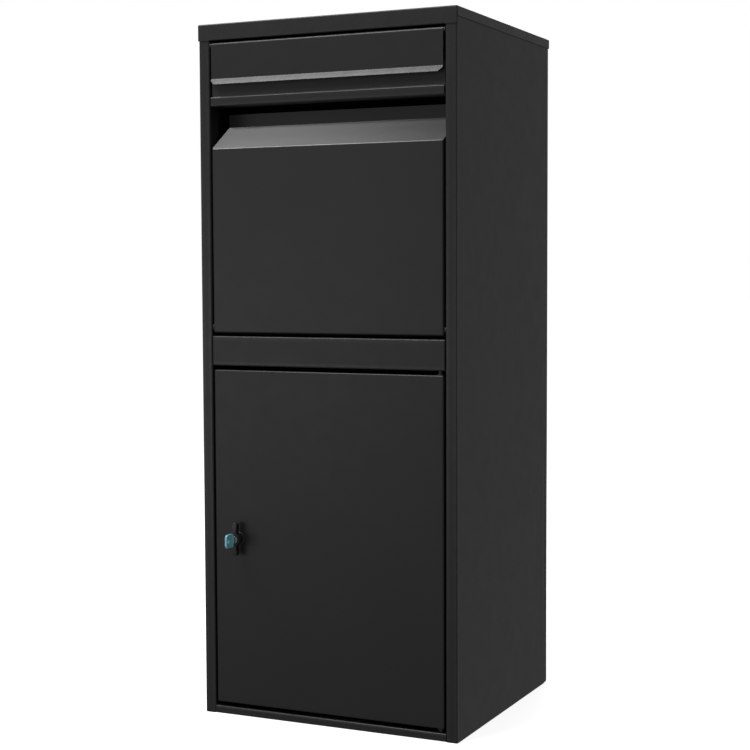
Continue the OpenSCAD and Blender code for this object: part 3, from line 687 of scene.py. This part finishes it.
def nut(radius, start, end, middle, axis, bore=0.0):
    """Hexagon with both faces chamfered. The side's distance from the axis is the flat's distance
    over the cosine of the angle from the flat's middle; the chamfer is a cone of 30 degrees."""
    flat = radius * math.cos(math.pi / 6)
    from_flat = (around + math.pi / 6) % (math.pi / 3) - math.pi / 6
    side = flat / np.cos(from_flat)
    face = np.minimum(side, 0.98 * flat)
    fall = (side - face) * math.tan(math.pi / 6)
    hole, first, last = [place + 0 * side for place in (bore, start, end)]
    reach = np.stack([hole, face, side, side, face, hole])
    along = np.stack([first, first, start + fall, end - fall, last, last])
    if bore:
        reach, along = np.concatenate([reach, reach[:1]]), np.concatenate([along, along[:1]])
    return round_axis(along, reach, middle, axis)


def solid(name, parts, finish):
    """Closed piece whose outlines have their roundings already."""
    return shell(name, parts, finish, edge=0, closed=True)


fixings = []
nut_r, nut_t, stud_r, stud_out = 4.6 * mm, 3.2 * mm, 2.4 * mm, 7 * mm
inner_wall = half - sheet
for side in (-1, 1):
    for share in (0.2, 0.55, 0.9):
        y = chute_y + share * (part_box("mail_chute")[1].y - chute_y)
        at = (0, y, chute_top + chute_slope * (y - chute_y) + chute_wall / 2)
        fixings.append(rod(stud_r, side * inner_wall, side * (inner_wall - stud_out), at, 0))
        fixings.append(nut(nut_r, side * (inner_wall - sheet), side * (inner_wall - sheet - nut_t), at, 0))
guard_stud_x, guard_stud_down = 155 * mm, 8 * mm
for x in (-guard_stud_x, 0, guard_stud_x):
    at = (x, 0, high.z - guard_stud_down)
    fixings.append(rod(stud_r, rear - sheet, rear - sheet - stud_out, at, 1))
    fixings.append(nut(nut_r, guard_wall, guard_wall - nut_t, at, 1))
nuts = solid("studs_and_nuts", fixings, zinc)
stands_for(nuts, "cabinet", "zinc_plated_steel", "shelf_nuts")

# ---- Door stop ----
# A steel angle welded to the left stile's return. The door closes against it on three rubber
# buffers, and the lock's cam turns in behind it.

low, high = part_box("door_stop")
plan, wear_and_sheen = folded([(high.x, low.y), (low.x, low.y), (low.x, high.y)], outer_bend)
stop = shell("door_stop_angle", [standing(plan, wear_and_sheen, low.z, high.z)], coat, sheet)
stands_for(stop, "cabinet", "black_powder_coat", "door_stop")


def buffer(radius, foot, tip, middle):
    """Round pad with a domed end, along Y from its foot to its tip."""
    rise = np.sin(np.radians(np.linspace(0, 90, 7)))
    reach = radius * np.cos(np.radians(np.linspace(0, 90, 7)))
    neck = foot + 0.4 * (tip - foot)
    outline = np.r_[[(foot, 0), (foot, radius)], np.stack([neck + (tip - neck) * rise, reach], -1)]
    return turned(outline, middle, 1)


door_low, door_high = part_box("door_skin")
pad_x, pad_t = low.x + 6 * mm, 1.2 * mm
pads = []
for share in (0.12, 0.5, 0.88):
    at = (pad_x, 0, door_low.z + share * (door_high.z - door_low.z))
    pads.append(buffer(4 * mm, low.y, low.y - pad_t, at))
stop_pads = solid("door_stop_buffers", pads, rubber_black)
stands_for(stop_pads, "cabinet", "black_rubber", "door_buffers")

# ---- Letter flap ----
# One strip of 1.2 mm steel: the face hangs from a curl rolled round the hinge rod, and its lower
# edge is bent out as a pull lip with its corners cut back. Black nylon spacers on the blackened
# rod hold it off the stiles.

low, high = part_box("mail_flap")
flap_sheet, curl_r, lip_cut, lip_side = 1.2 * mm, 4 * mm, 7 * mm, 3 * mm
curl_y, curl_z = front + curl_r, high.z - curl_r
lip_bend_z = low.z + 9 * mm
leaf = high.x
lip_foot = (low.y, low.z + flap_sheet / 2)
side_view, wear_and_sheen = folded([lip_foot, (front, lip_bend_z), (front, curl_z)], 1.0 * mm, fade=2 * mm)
cut_row = 1
cut_share = (lip_bend_z - lip_side - low.z) / (lip_bend_z - low.z)
cut_point = side_view[0] + cut_share * (np.array([front, lip_bend_z]) - side_view[0])
side_view = np.insert(side_view, cut_row, cut_point, 0)
wear_and_sheen = np.insert(wear_and_sheen, cut_row, 0.2)
turn = np.radians(np.linspace(180, -95, 26))[1:]
curl = np.stack([curl_y + curl_r * np.cos(turn), curl_z + curl_r * np.sin(turn)], -1)
side_view = np.concatenate([side_view, curl])
# The curl and the lip's edge are marked as bends, so the coat paints them paler: worn coat and a painted
# highlight where they catch the light
wear_and_sheen = np.concatenate([wear_and_sheen, 0.8 * np.ones(len(curl))])
wear_and_sheen[0] = 1.0
reach = leaf - lip_cut * np.clip((cut_point[1] - side_view[:, 1:]) / (cut_point[1] - low.z), 0, 1)
ends = np.array([-1, -1 + lead / leaf, 1 - lead / leaf, 1])
flap = shell("letter_flap_sheet", [crosswise(side_view, wear_and_sheen, reach * ends)], coat, flap_sheet, edge=0.3 * mm)
stands_for(flap, "letter_flap", "black_powder_coat", "mail_flap")

low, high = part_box("flap_rod")
oxide = plated("black oxide steel", (0.030, 0.030, 0.033, 1), (0.055, 0.055, 0.058, 1), 0.32)
hinge_at = (0, curl_y, curl_z)
hinge_rod = solid("flap_hinge_rod", [rod(2 * mm, low.x, high.x, hinge_at, 0)], oxide)
stands_for(hinge_rod, "cabinet", "blackened_steel", "flap_rod")

nylon = clouded(
    "black nylon", {"Specular IOR Level": 0.45}, patches=(60.0, 3.0),
    colours=((0.012, 0.012, 0.013, 1), (0.020, 0.020, 0.021, 1)),
    rough=(0.42, 0.56), gloss=(300.0, 2.0), grain=(1100.0, 2.0), depth=0.012 * mm)
spacer_r, spacer_bore, spacer_gap = 3.8 * mm, 2.1 * mm, 0.3 * mm
spacers = [tube(spacer_r, spacer_bore, side * (leaf + spacer_gap), side * (stile - spacer_gap), hinge_at, 0)
           for side in (-1, 1)]
flap_spacers = solid("flap_hinge_spacers", spacers, nylon)
stands_for(flap_spacers, "cabinet", "black_nylon", "flap_spacers")

low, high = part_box("flap_buffers")
pad_r, middle_z = 3 * mm, (low.z + high.z) / 2
pads = [buffer(pad_r, high.y, low.y, (side * (high.x - pad_r), 0, middle_z)) for side in (-1, 1)]
flap_pads = solid("flap_buffer_pads", pads, rubber_black)
stands_for(flap_pads, "cabinet", "black_rubber", "flap_buffers")

# ---- Parcel hopper front ----
# One sheet: a front panel with its sides and foot folded back, its top bent over into a sloping
# grip, and an upstand at the grip's inner edge. It is pulled out by the grip.

low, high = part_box("hopper_front")
ramp_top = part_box("grip_ramp")[1].z
fold_deep, ramp_deep, ramp_rise, upstand = high.y - low.y, 52 * mm, 35 * mm, 19 * mm
ramp_z = ramp_top - ramp_rise - upstand
slope = ramp_rise / ramp_deep
ramp_view, ramp_wear_and_sheen = folded(
    [(front, low.z), (front, ramp_z), (front + ramp_deep, ramp_z + ramp_rise), (front + ramp_deep, ramp_top)],
    [2.0 * mm, inner_bend], fade=0.6 * mm)
ramp_view, ramp_wear_and_sheen = ramp_view[1:], ramp_wear_and_sheen[1:]
panel_top = ramp_view[0, 1]
x_line = stations(flat_lines(low.x, high.x, outer_bend), outer_bend, before=[fold_deep], after=[fold_deep])
z_flat = [low.z + outer_bend, low.z + outer_bend + lead, panel_top - 8 * mm, panel_top]
z_line = stations(z_flat, outer_bend, before=[fold_deep])
x, z, depth, kept, wear_and_sheen = pan(x_line, z_line, outer_bend)
z[:, -1] += slope * depth[:, -1]
panel = grid(spread(x, front + depth, z)[:, ::-1], kept[:, ::-1], wear_and_sheen[:, ::-1])
face = x_line[3] == 0
set_back = outer_bend * (1 - x_line[2][face])
follows = (ramp_view[:, 1] < ramp_z + 2.5 * mm)[:, None] * set_back
ramp_points = spread((x_line[0] + outer_bend * x_line[1])[face], ramp_view[:, :1] + follows,
                     ramp_view[:, 1:] + slope * follows)
ramp = grid(ramp_points, wear_and_sheen=ramp_wear_and_sheen[:, None])
hopper = shell("hopper_front_sheet", [panel, ramp], coat, sheet)
stands_for(hopper, "hopper", "black_powder_coat", "hopper_front", "grip_ramp")

grip_middle = (-0.04, front + ramp_deep / 2, ramp_z)
grip_light = softbox("grip softbox", (-0.72, -0.21, 2.10), grip_middle, (0.8, 0.3), 25)
lit_hopper = bpy.data.collections.new("hopper front under the grip softbox")
lit_hopper.objects.link(hopper)
grip_light.light_linking.receiver_collection = lit_hopper
grip_light.light_linking.blocker_collection = lit_hopper

# ---- Hopper tray and cheeks ----
# The tray's floor slopes down into the cabinet and is spot welded to the panel's foot. A cheek at
# each side, with a curved slot for the stop stud, closes the hopper and is riveted to its sides.

low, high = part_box("hopper_tray")
side_view, wear_and_sheen = folded([(low.y, high.z), (front + fold_deep, high.z), (high.y, low.z + sheet)], outer_bend)
tray = shell("hopper_tray_sheet", [crosswise(side_view, wear_and_sheen, [low.x, high.x])], coat, sheet)
stands_for(tray, "hopper", "black_powder_coat", "hopper_tray")


def from_cad(name, node, finish, edge):
    """Copy of a CAD plate with its triangles joined into flats and its cut edges rounded."""
    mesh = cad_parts[node].data.copy()
    mesh.name = name
    loose = bmesh.new()
    loose.from_mesh(mesh)
    bmesh.ops.remove_doubles(loose, verts=loose.verts, dist=0.002 * mm)
    bmesh.ops.dissolve_limit(loose, angle_limit=math.radians(0.5), verts=loose.verts, edges=loose.edges)
    loose.to_mesh(mesh)
    loose.free()
    piece = placed(name, mesh, finish)
    rounded(piece, edge)
    piece.modifiers.new("shading", "WEIGHTED_NORMAL")
    return piece


for name in ("left_cheek", "right_cheek"):
    stands_for(from_cad(name + "_plate", name, coat, 0.3 * mm), "hopper", "black_powder_coat", name)

panel_foot, cheek_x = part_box("hopper_front")[0].z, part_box("hopper_tray")[1].x
hinge_y, hinge_z = front + 7 * mm, panel_foot + 8 * mm
rivet_r, head_r, head_t, rivet_y = 2 * mm, 4 * mm, 1.3 * mm, front + 10 * mm
head = np.radians(np.linspace(90, 0, 7))
dome = np.stack([cheek_x - head_t * np.sin(head), head_r * np.cos(head)], -1)
outline = np.r_[dome, [(cheek_x, rivet_r), (leaf, rivet_r), (leaf, 0)]]
rivets = []
for side in (-1, 1):
    for share in (0.15, 0.38, 0.62, 0.86):
        at = (0, rivet_y, panel_foot + share * (ramp_z - panel_foot))
        rivets.append(turned(outline * (side, 1), at, 0))
hopper_rivets = solid("cheek_rivets", rivets, zinc)
stands_for(hopper_rivets, "hopper", "zinc_plated_steel", "hopper_rivets")

# ---- Hopper pivots and stops ----
# The hopper tips on two pins in flanged nylon bushes. A shouldered stud on each wall, in a rubber
# sleeve, runs in the cheek's slot and stops the swing.

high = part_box("hopper_pivots")[1]
pins = [rod(3 * mm, side * cheek_x, side * high.x, (0, hinge_y, hinge_z), 0) for side in (-1, 1)]
pivots = solid("hopper_pivot_pins", pins, oxide)
stands_for(pivots, "hopper", "blackened_steel", "hopper_pivots")

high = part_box("pivot_bushes")[1]
bush_bore, bush_r, flange_r, bush_from = 3.05 * mm, 4.5 * mm, 5.3 * mm, leaf + 0.3 * mm
# A ring's outline starts and ends at a seam in its bore, so that it closes.
seam = (leaf + 1 * mm, bush_bore)
outline = folded([seam, (bush_from, bush_bore), (bush_from, flange_r), (stile, flange_r), (stile, bush_r),
                  (high.x, bush_r), (high.x, bush_bore), seam], 0.25 * mm)[0]
bushes = [turned(outline * (side, 1), (0, hinge_y, hinge_z), 0) for side in (-1, 1)]
pivot_bushes = solid("pivot_bushes_nylon", bushes, nylon)
stands_for(pivot_bushes, "cabinet", "black_nylon", "pivot_bushes")

stop_angle, slot_r = math.radians(75), 150 * mm
stud_at = (0, hinge_y + slot_r * math.cos(stop_angle), hinge_z + slot_r * math.sin(stop_angle))
shank_r, head_r, foot_r = 4 * mm, 7.5 * mm, 9 * mm
head_from, head_to, foot_from = cheek_x - 4 * mm, cheek_x - 1.5 * mm, inner_wall - 3 * mm
outline = folded([(head_from, 0), (head_from, head_r), (head_to, head_r), (head_to, shank_r),
                  (foot_from, shank_r), (foot_from, foot_r), (inner_wall, foot_r), (inner_wall, 0)],
                 0.5 * mm)[0]
studs = [turned(outline * (side, 1), stud_at, 0) for side in (-1, 1)]
sleeve_r, sleeve_bore, sleeve_from, sleeve_to = 5.4 * mm, 4.05 * mm, cheek_x - 1.2 * mm, inner_wall - 3.2 * mm
sleeves = [tube(sleeve_r, sleeve_bore, side * sleeve_from, side * sleeve_to, stud_at, 0) for side in (-1, 1)]
stop_studs = solid("stop_stud_pair", studs, zinc)
stands_for(stop_studs, "cabinet", "zinc_plated_steel", "stop_studs")
stop_sleeves = solid("stop_sleeve_pair", sleeves, rubber_black)
stands_for(stop_sleeves, "cabinet", "black_rubber", "stop_sleeves")

# ---- Door ----
# One sheet with all four edges folded back, a hole for the lock and a hat section of galvanised
# steel spot welded up the middle of the inside to keep it flat.

low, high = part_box("door_skin")
rose_low, rose_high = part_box("lock_rosette")
lock_x, lock_z = (rose_low.x + rose_high.x) / 2, (rose_low.z + rose_high.z) / 2
door_deep = high.y - low.y
lock_cell = 16 * mm
x_line, z_line = [
    stations(flat_lines(start, end, outer_bend, (middle - lock_cell, middle + lock_cell)), outer_bend,
             before=[door_deep], after=[door_deep])
    for start, end, middle in ((low.x, high.x, lock_x), (low.z, high.z, lock_z))]
x, z, depth, kept, wear_and_sheen = pan(x_line, z_line, outer_bend)
last = len(z_line[0]) - 2
lock_hole_r = 8.1 * mm
holes = [(row, last - col, spot, radius) for row, col, spot, radius in
         holes_in(x_line, z_line, [(lock_x, lock_z, (lock_x, front, lock_z))], lock_hole_r)]
skin = grid(spread(x, front + depth, z)[:, ::-1], kept[:, ::-1], wear_and_sheen[:, ::-1], holes)
door = shell("door_sheet", [skin], coat, sheet)
stands_for(door, "door", "black_powder_coat", "door_skin")

low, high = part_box("door_stiffener")
hat_sheet = 1.2 * mm
foot, hat = low.y + hat_sheet, 20 * mm + hat_sheet
plan, wear_and_sheen = folded([(low.x, foot), (-hat, foot), (-hat, high.y), (hat, high.y), (hat, foot), (high.x, foot)],
                    [inner_bend, 2.1 * mm, 2.1 * mm, inner_bend])
stiffener = shell("door_hat_section", [standing(plan, wear_and_sheen, low.z, high.z)], zinc_dipped, hat_sheet,
                  edge=0.25 * mm)
stands_for(stiffener, "door", "galvanised_sheet", "door_stiffener")

# ---- Door pins ----
# The door turns on two headed steel pins, one through each rail, in flanged nylon bushes pressed
# into the door's upper and lower folds.

low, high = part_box("door_pins")
pivot = ((low.x + high.x) / 2, (low.y + high.y) / 2, 0)
pin_r, pin_head, pin_in = 3 * mm, (high.x - low.x) / 2, 10 * mm
rail_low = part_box("middle_rail")[0].z
pins = []
for tip, neck, end in ((door_high.z - pin_in, rail_low + sheet, high.z),
                       (door_low.z + pin_in, low.z + pan_sheet, low.z)):
    outline = [(tip, 0), (tip, pin_r), (neck, pin_r), (neck, pin_head), (end, pin_head), (end, 0)]
    pins.append(turned(folded(outline, 0.5 * mm)[0], pivot, 2))
door_pins = solid("door_pivot_pins", pins, oxide)
stands_for(door_pins, "cabinet", "blackened_steel", "door_pins")
bush_r, flange_r, flange_t, bush_long = 4.4 * mm, 4.9 * mm, 2 * mm, 8 * mm
seam = (-bush_long / 2, bush_bore)
outline = folded([seam, (-bush_long, bush_bore), (-bush_long, bush_r), (0, bush_r), (0, flange_r),
                  (flange_t, flange_r), (flange_t, bush_bore), seam], 0.25 * mm)[0]
bushes = [turned(outline * (way, 1) + (start, 0), pivot, 2)
          for start, way in ((door_high.z, 1), (door_low.z, -1))]
door_bushes = solid("door_bushes_nylon", bushes, nylon)
stands_for(door_bushes, "door", "black_nylon", "door_bushes")

# ---- Lock rosette, barrel and nut ----
# The lock's nickel plated barrel goes through a moulded black rosette and the door, and is held by
# a zinc plated nut on its thread behind the door.

handle_black = clouded(
    "black handle plastic", {"Specular IOR Level": 0.5}, patches=(90.0, 3.0),
    colours=((0.008, 0.008, 0.009, 1), (0.016, 0.016, 0.017, 1)),
    rough=(0.34, 0.50), gloss=(500.0, 2.0), grain=(2200.0, 2.0), depth=0.03 * mm)
nickel = plated("nickel plate", (0.58, 0.55, 0.50, 1), (0.70, 0.67, 0.62, 1), 0.16)
lock_axis = (lock_x, 0, lock_z)
collar_r, barrel_bore = 8.05 * mm, 4.05 * mm
rose_r = (rose_high.x - rose_low.x) / 2
seam, slant = (front - 1.5 * mm, collar_r), 1 * mm
outline = folded([seam, (rose_low.y, collar_r), (rose_low.y, rose_r - slant), (rose_low.y + slant, rose_r),
                  (front, rose_r), (front, collar_r), seam], 0.3 * mm)[0]
rosette = solid("lock_rosette_ring", [turned(outline, lock_axis, 1)], handle_black)
stands_for(rosette, "door", "black_handle_plastic", "lock_rosette")


def threaded(outline, start, end, pitch, depth, middle, axis):
    """Turned outline with a screw thread between two places. There each radius is less by the
    depth times a triangle wave of (distance / pitch - turns), faded over a pitch at both ends."""
    outline = np.asarray(outline, float)
    along = outline[:, :1]
    wave = 2 * np.abs((along / pitch - around / (2 * np.pi)) % 1 - 0.5)
    fade = np.clip((along - start) / pitch, 0, 1) * np.clip((end - along) / pitch, 0, 1)
    return round_axis(along, outline[:, 1:] - depth * wave * fade, middle, axis)


low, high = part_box("lock_barrel")
barrel_r, thread_from = (high.x - low.x) / 2, front + sheet
pitch, thread_depth, bevel, seam = 1 * mm, 0.45 * mm, 0.5 * mm, (front, barrel_bore)
thread_y = np.arange(thread_from, high.y - 0.6 * mm, pitch / 8)[1:]
collar = folded([seam, (low.y, barrel_bore), (low.y, barrel_r), (thread_from, barrel_r)], 0.4 * mm)[0]
thread = np.stack([thread_y, barrel_r + 0 * thread_y], -1)
tail = [(high.y - bevel, barrel_r), (high.y, barrel_r - bevel), (high.y, barrel_bore), seam]
outline = np.concatenate([collar, thread, folded(tail, 0.2 * mm)[0]])
sleeve = threaded(outline, thread_from, high.y, pitch, thread_depth, lock_axis, 1)
barrel = solid("lock_barrel_sleeve", [sleeve], nickel)
stands_for(barrel, "door", "nickel_plate", "lock_barrel")

low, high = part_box("lock_nut")
ring_nut = solid("lock_ring_nut", [nut(12.7 * mm, low.y, high.y, lock_axis, 1, collar_r)], zinc)
stands_for(ring_nut, "door", "zinc_plated_steel", "lock_nut")

# ---- Wing handle ----
# Moulded black plastic with a round hub and two wings, narrower beside the hub. The hub is bored
# for the key plug in front and for the steel spindle behind.

low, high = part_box("lock_handle")
hub_r, plug_bore, plug_seat = (high.x - low.x) / 2, 5.55 * mm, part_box("lock_spindle")[0].y - 0.2 * mm
wing_r, wing_tip, wing_root = 4.5 * mm, (high.z - low.z) / 2, 6.6 * mm
wing_back = high.y - 3 * mm
seam = (plug_seat - 4 * mm, plug_bore)
outline = folded([seam, (low.y, plug_bore), (low.y, hub_r), (high.y, hub_r), (high.y, barrel_bore),
                  (plug_seat, barrel_bore), (plug_seat, plug_bore), seam],
                 [0.25 * mm, 1.1 * mm, 0.5 * mm, 0.2 * mm, 0.2 * mm, 0.2 * mm])[0]
hub = turned(outline, lock_axis, 1)


def wing(side):
    """Wing from inside the hub's wall to its tip. Each cross-section is a superellipse of power 5,
    as wide as the wing's outline there: a half circle at the tip and a waist near the hub."""
    share = np.r_[np.linspace(0, 0.72, 14), 0.72 + 0.28 * np.sin(np.radians(np.linspace(0, 90, 15)[1:]))]
    out = wing_root + share * (wing_tip - wing_root)
    past = np.clip((out - (wing_tip - wing_r)) / wing_r, 0, 1)
    waist = 0.7 * mm * np.exp(-((out - 11 * mm) / (4 * mm)) ** 2)
    round_end = np.sqrt(np.round(1 - past ** 2, 9))
    wide = (wing_r - waist) * round_end
    crown = 0.9 * mm * share ** 2
    deep = (wing_back - low.y - crown) / 2 * round_end ** 0.35
    edge_x, edge_y = [np.sign(part) * np.abs(part) ** 0.4 for part in (np.cos(around), np.sin(around))]
    middle = (wing_back + low.y + crown) / 2
    return spread(lock_x + side * wide[:, None] * edge_x, middle[:, None] + deep[:, None] * edge_y,
                  lock_z + side * out[:, None] + 0 * edge_x)


def ends_closed(rings):
    """Rings of points with the middle of the first ring before them and of the last after them."""
    first, last = [np.broadcast_to(ring[:-1].mean(0), ring.shape)[None] for ring in (rings[0], rings[-1])]
    return np.concatenate([first, rings, last])


wings = [grid(ends_closed(wing(side))) for side in (1, -1)]
handle = solid("lock_wing_handle", [hub, *wings], handle_black)
stands_for(handle, "handle", "black_handle_plastic", "lock_handle")

# ---- Spindle and cam ----
# A zinc plated spindle turns the flat steel cam behind the door, which a hexagon screw and its
# washer hold on. The cam swings behind the stile's stop.

low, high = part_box("lock_spindle")
spindle = solid("lock_spindle_bar", [rod(4 * mm, low.y, high.y, lock_axis, 1)], zinc)
stands_for(spindle, "handle", "zinc_plated_steel", "lock_spindle")
stands_for(from_cad("lock_cam_plate", "lock_cam", zinc, 0.35 * mm), "handle", "zinc_plated_steel", "lock_cam")
low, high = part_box("cam_screw")
washer_t = 1 * mm
washer = rod(7 * mm, low.y, low.y + washer_t, lock_axis, 1, 0.25 * mm)
screw_head = nut(5.6 * mm, low.y + washer_t, high.y, lock_axis, 1)
screw = solid("cam_screw_head", [washer, screw_head], zinc)
stands_for(screw, "handle", "zinc_plated_steel", "cam_screw")

# ---- Key plug ----
# A nickel plated plug that the key turns in the handle, with a keyway down its middle.

low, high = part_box("lock_plug")
plug_r, keyway_wide, keyway_tall = (high.x - low.x) / 2, 1.2 * mm, 3.6 * mm
keyway_end = high.y - 0.7 * mm
to_corner = math.atan2(keyway_tall, keyway_wide)
angles = np.unique(np.r_[around, to_corner, np.pi - to_corner, np.pi + to_corner, 2 * np.pi - to_corner])
ring_x, ring_z = np.cos(angles), np.sin(angles)
tiny = 1e-9
keyway_r = np.minimum(keyway_wide / np.maximum(np.abs(ring_x), tiny),
                      keyway_tall / np.maximum(np.abs(ring_z), tiny))
body = folded([(high.y, plug_r), (low.y, plug_r), (low.y, plug_r - 1 * mm)], 0.4 * mm)[0]
body = np.r_[[(high.y, 0.0)], body]
ways = np.array([(low.y, 0.25 * mm), (low.y + 0.25 * mm, 0.0), (keyway_end, 0.0)])
reach = np.r_[body[:, 1:] + 0 * angles, keyway_r + ways[:, 1:], 0 * angles[None]]
along = np.r_[body[:, 0], ways[:, 0], keyway_end][:, None]
plug = solid("key_plug", [grid(spread(lock_x + reach * ring_x, along, lock_z + reach * ring_z))], nickel)
stands_for(plug, "plug", "nickel_plate", "lock_plug")

# ---- Key ----
# A nickel plated blade with a milled groove and cut teeth, moulded into a flat head of light blue
# plastic. The head has a raised rim, a shallow recess and a hole for a ring.

low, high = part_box("key_blade")
blade_x, blade_z = (high.x - low.x) / 2, (high.z - low.z) / 2
station = np.linspace(low.y, high.y, 73)
tooth = np.abs((station - low.y) / (2.2 * mm) % 1 - 0.5) * 2
cut = 1.3 * mm * np.clip(1.6 * tooth - 0.3, 0, 1) * np.clip((station - low.y - 2 * mm) / (0.6 * mm), 0, 1)
point = 2.0 * mm * np.clip((station - high.y) / (2.0 * mm) + 1, 0, 1)
top, foot = blade_z - point, -blade_z + np.maximum(cut, point)
section_x = np.array([-1, 1, 1, 0.45, 0.45, 1, 1, -1, -1, -0.45, -0.45, -1, -1]) * blade_x
right_groove, left_groove = [[0 * top + height * mm for height in heights]
                             for heights in ((1.2, 0.9, 0.1, -0.2), (-0.6, -0.3, 0.5, 0.8))]
section_z = np.stack([top, top, *right_groove, foot, foot, *left_groove, top], -1)
section_z = np.clip(section_z, foot[:, None], top[:, None])
sections = spread(lock_x + section_x, station[:, None], lock_z + section_z)
blade = shell("key_blade_cut", [grid(ends_closed(sections))], nickel, edge=0.12 * mm, closed=True)
stands_for(blade, "key", "nickel_plate", "key_blade")

blue_plastic = clouded(
    "light blue key plastic",
    {"Subsurface Weight": 0.15, "Subsurface Radius": (0.8 * mm, 1.2 * mm, 1.5 * mm),
     "Coat Weight": 0.25, "Coat Roughness": 0.2},
    colours=((0.22, 0.60, 0.74, 1), (0.30, 0.70, 0.83, 1)), patches=(140.0, 3.0),
    rough=(0.26, 0.42), gloss=(900.0, 2.0), grain=(2600.0, 2.0), depth=0.008 * mm)
low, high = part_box("key_bow")
head_t, head_corner = (high.x - low.x) / 2, 5 * mm
ring_y, ring_r = low.y + 5.5 * mm, 2.6 * mm
steps = 9
quadrants = np.linspace(0, np.pi / 2, steps) + np.pi / 2 * np.arange(4)[:, None]
way_y, way_z = np.cos(quadrants).ravel(), np.sin(quadrants).ravel()
sign_y, sign_z = np.repeat([1, -1, -1, 1], steps), np.repeat([1, 1, -1, -1], steps)
rim_y = (low.y + high.y) / 2 + sign_y * ((high.y - low.y) / 2 - head_corner) + head_corner * way_y
rim_z = sign_z * ((high.z - low.z) / 2 - head_corner) + head_corner * way_z
rim = np.stack([np.r_[rim_y, rim_y[:1]], np.r_[rim_z, rim_z[:1]]], -1)
ray = rim - (ring_y, 0)
ray = ray / np.linalg.norm(ray, axis=1, keepdims=True)
ring_edge = ray * ring_r + (ring_y, 0)
thick = head_t - np.array([0.45, 0.12, 0, 0, 0.4, 0.4, 0, 0, 0.14, 0.5]) * mm
half_rows = np.concatenate([
    [ring_edge, ring_edge + ray * 0.15 * mm],
    ring_edge + ray * np.array([0.5, 1.2, 1.5])[:, None, None] * mm,
    rim - ray * np.array([2.0, 1.6, 0.5, 0.14, 0])[:, None, None] * mm])
rows = np.concatenate([half_rows, half_rows[::-1], half_rows[:1]])
sides = np.r_[thick, -thick[::-1], thick[:1]][:, None]
head = solid("key_head", [grid(spread(lock_x + sides, rows[..., 0], lock_z + rows[..., 1]))], blue_plastic)
stands_for(head, "key", "blue_key_plastic", "key_bow")

bpy.context.view_layer.update()
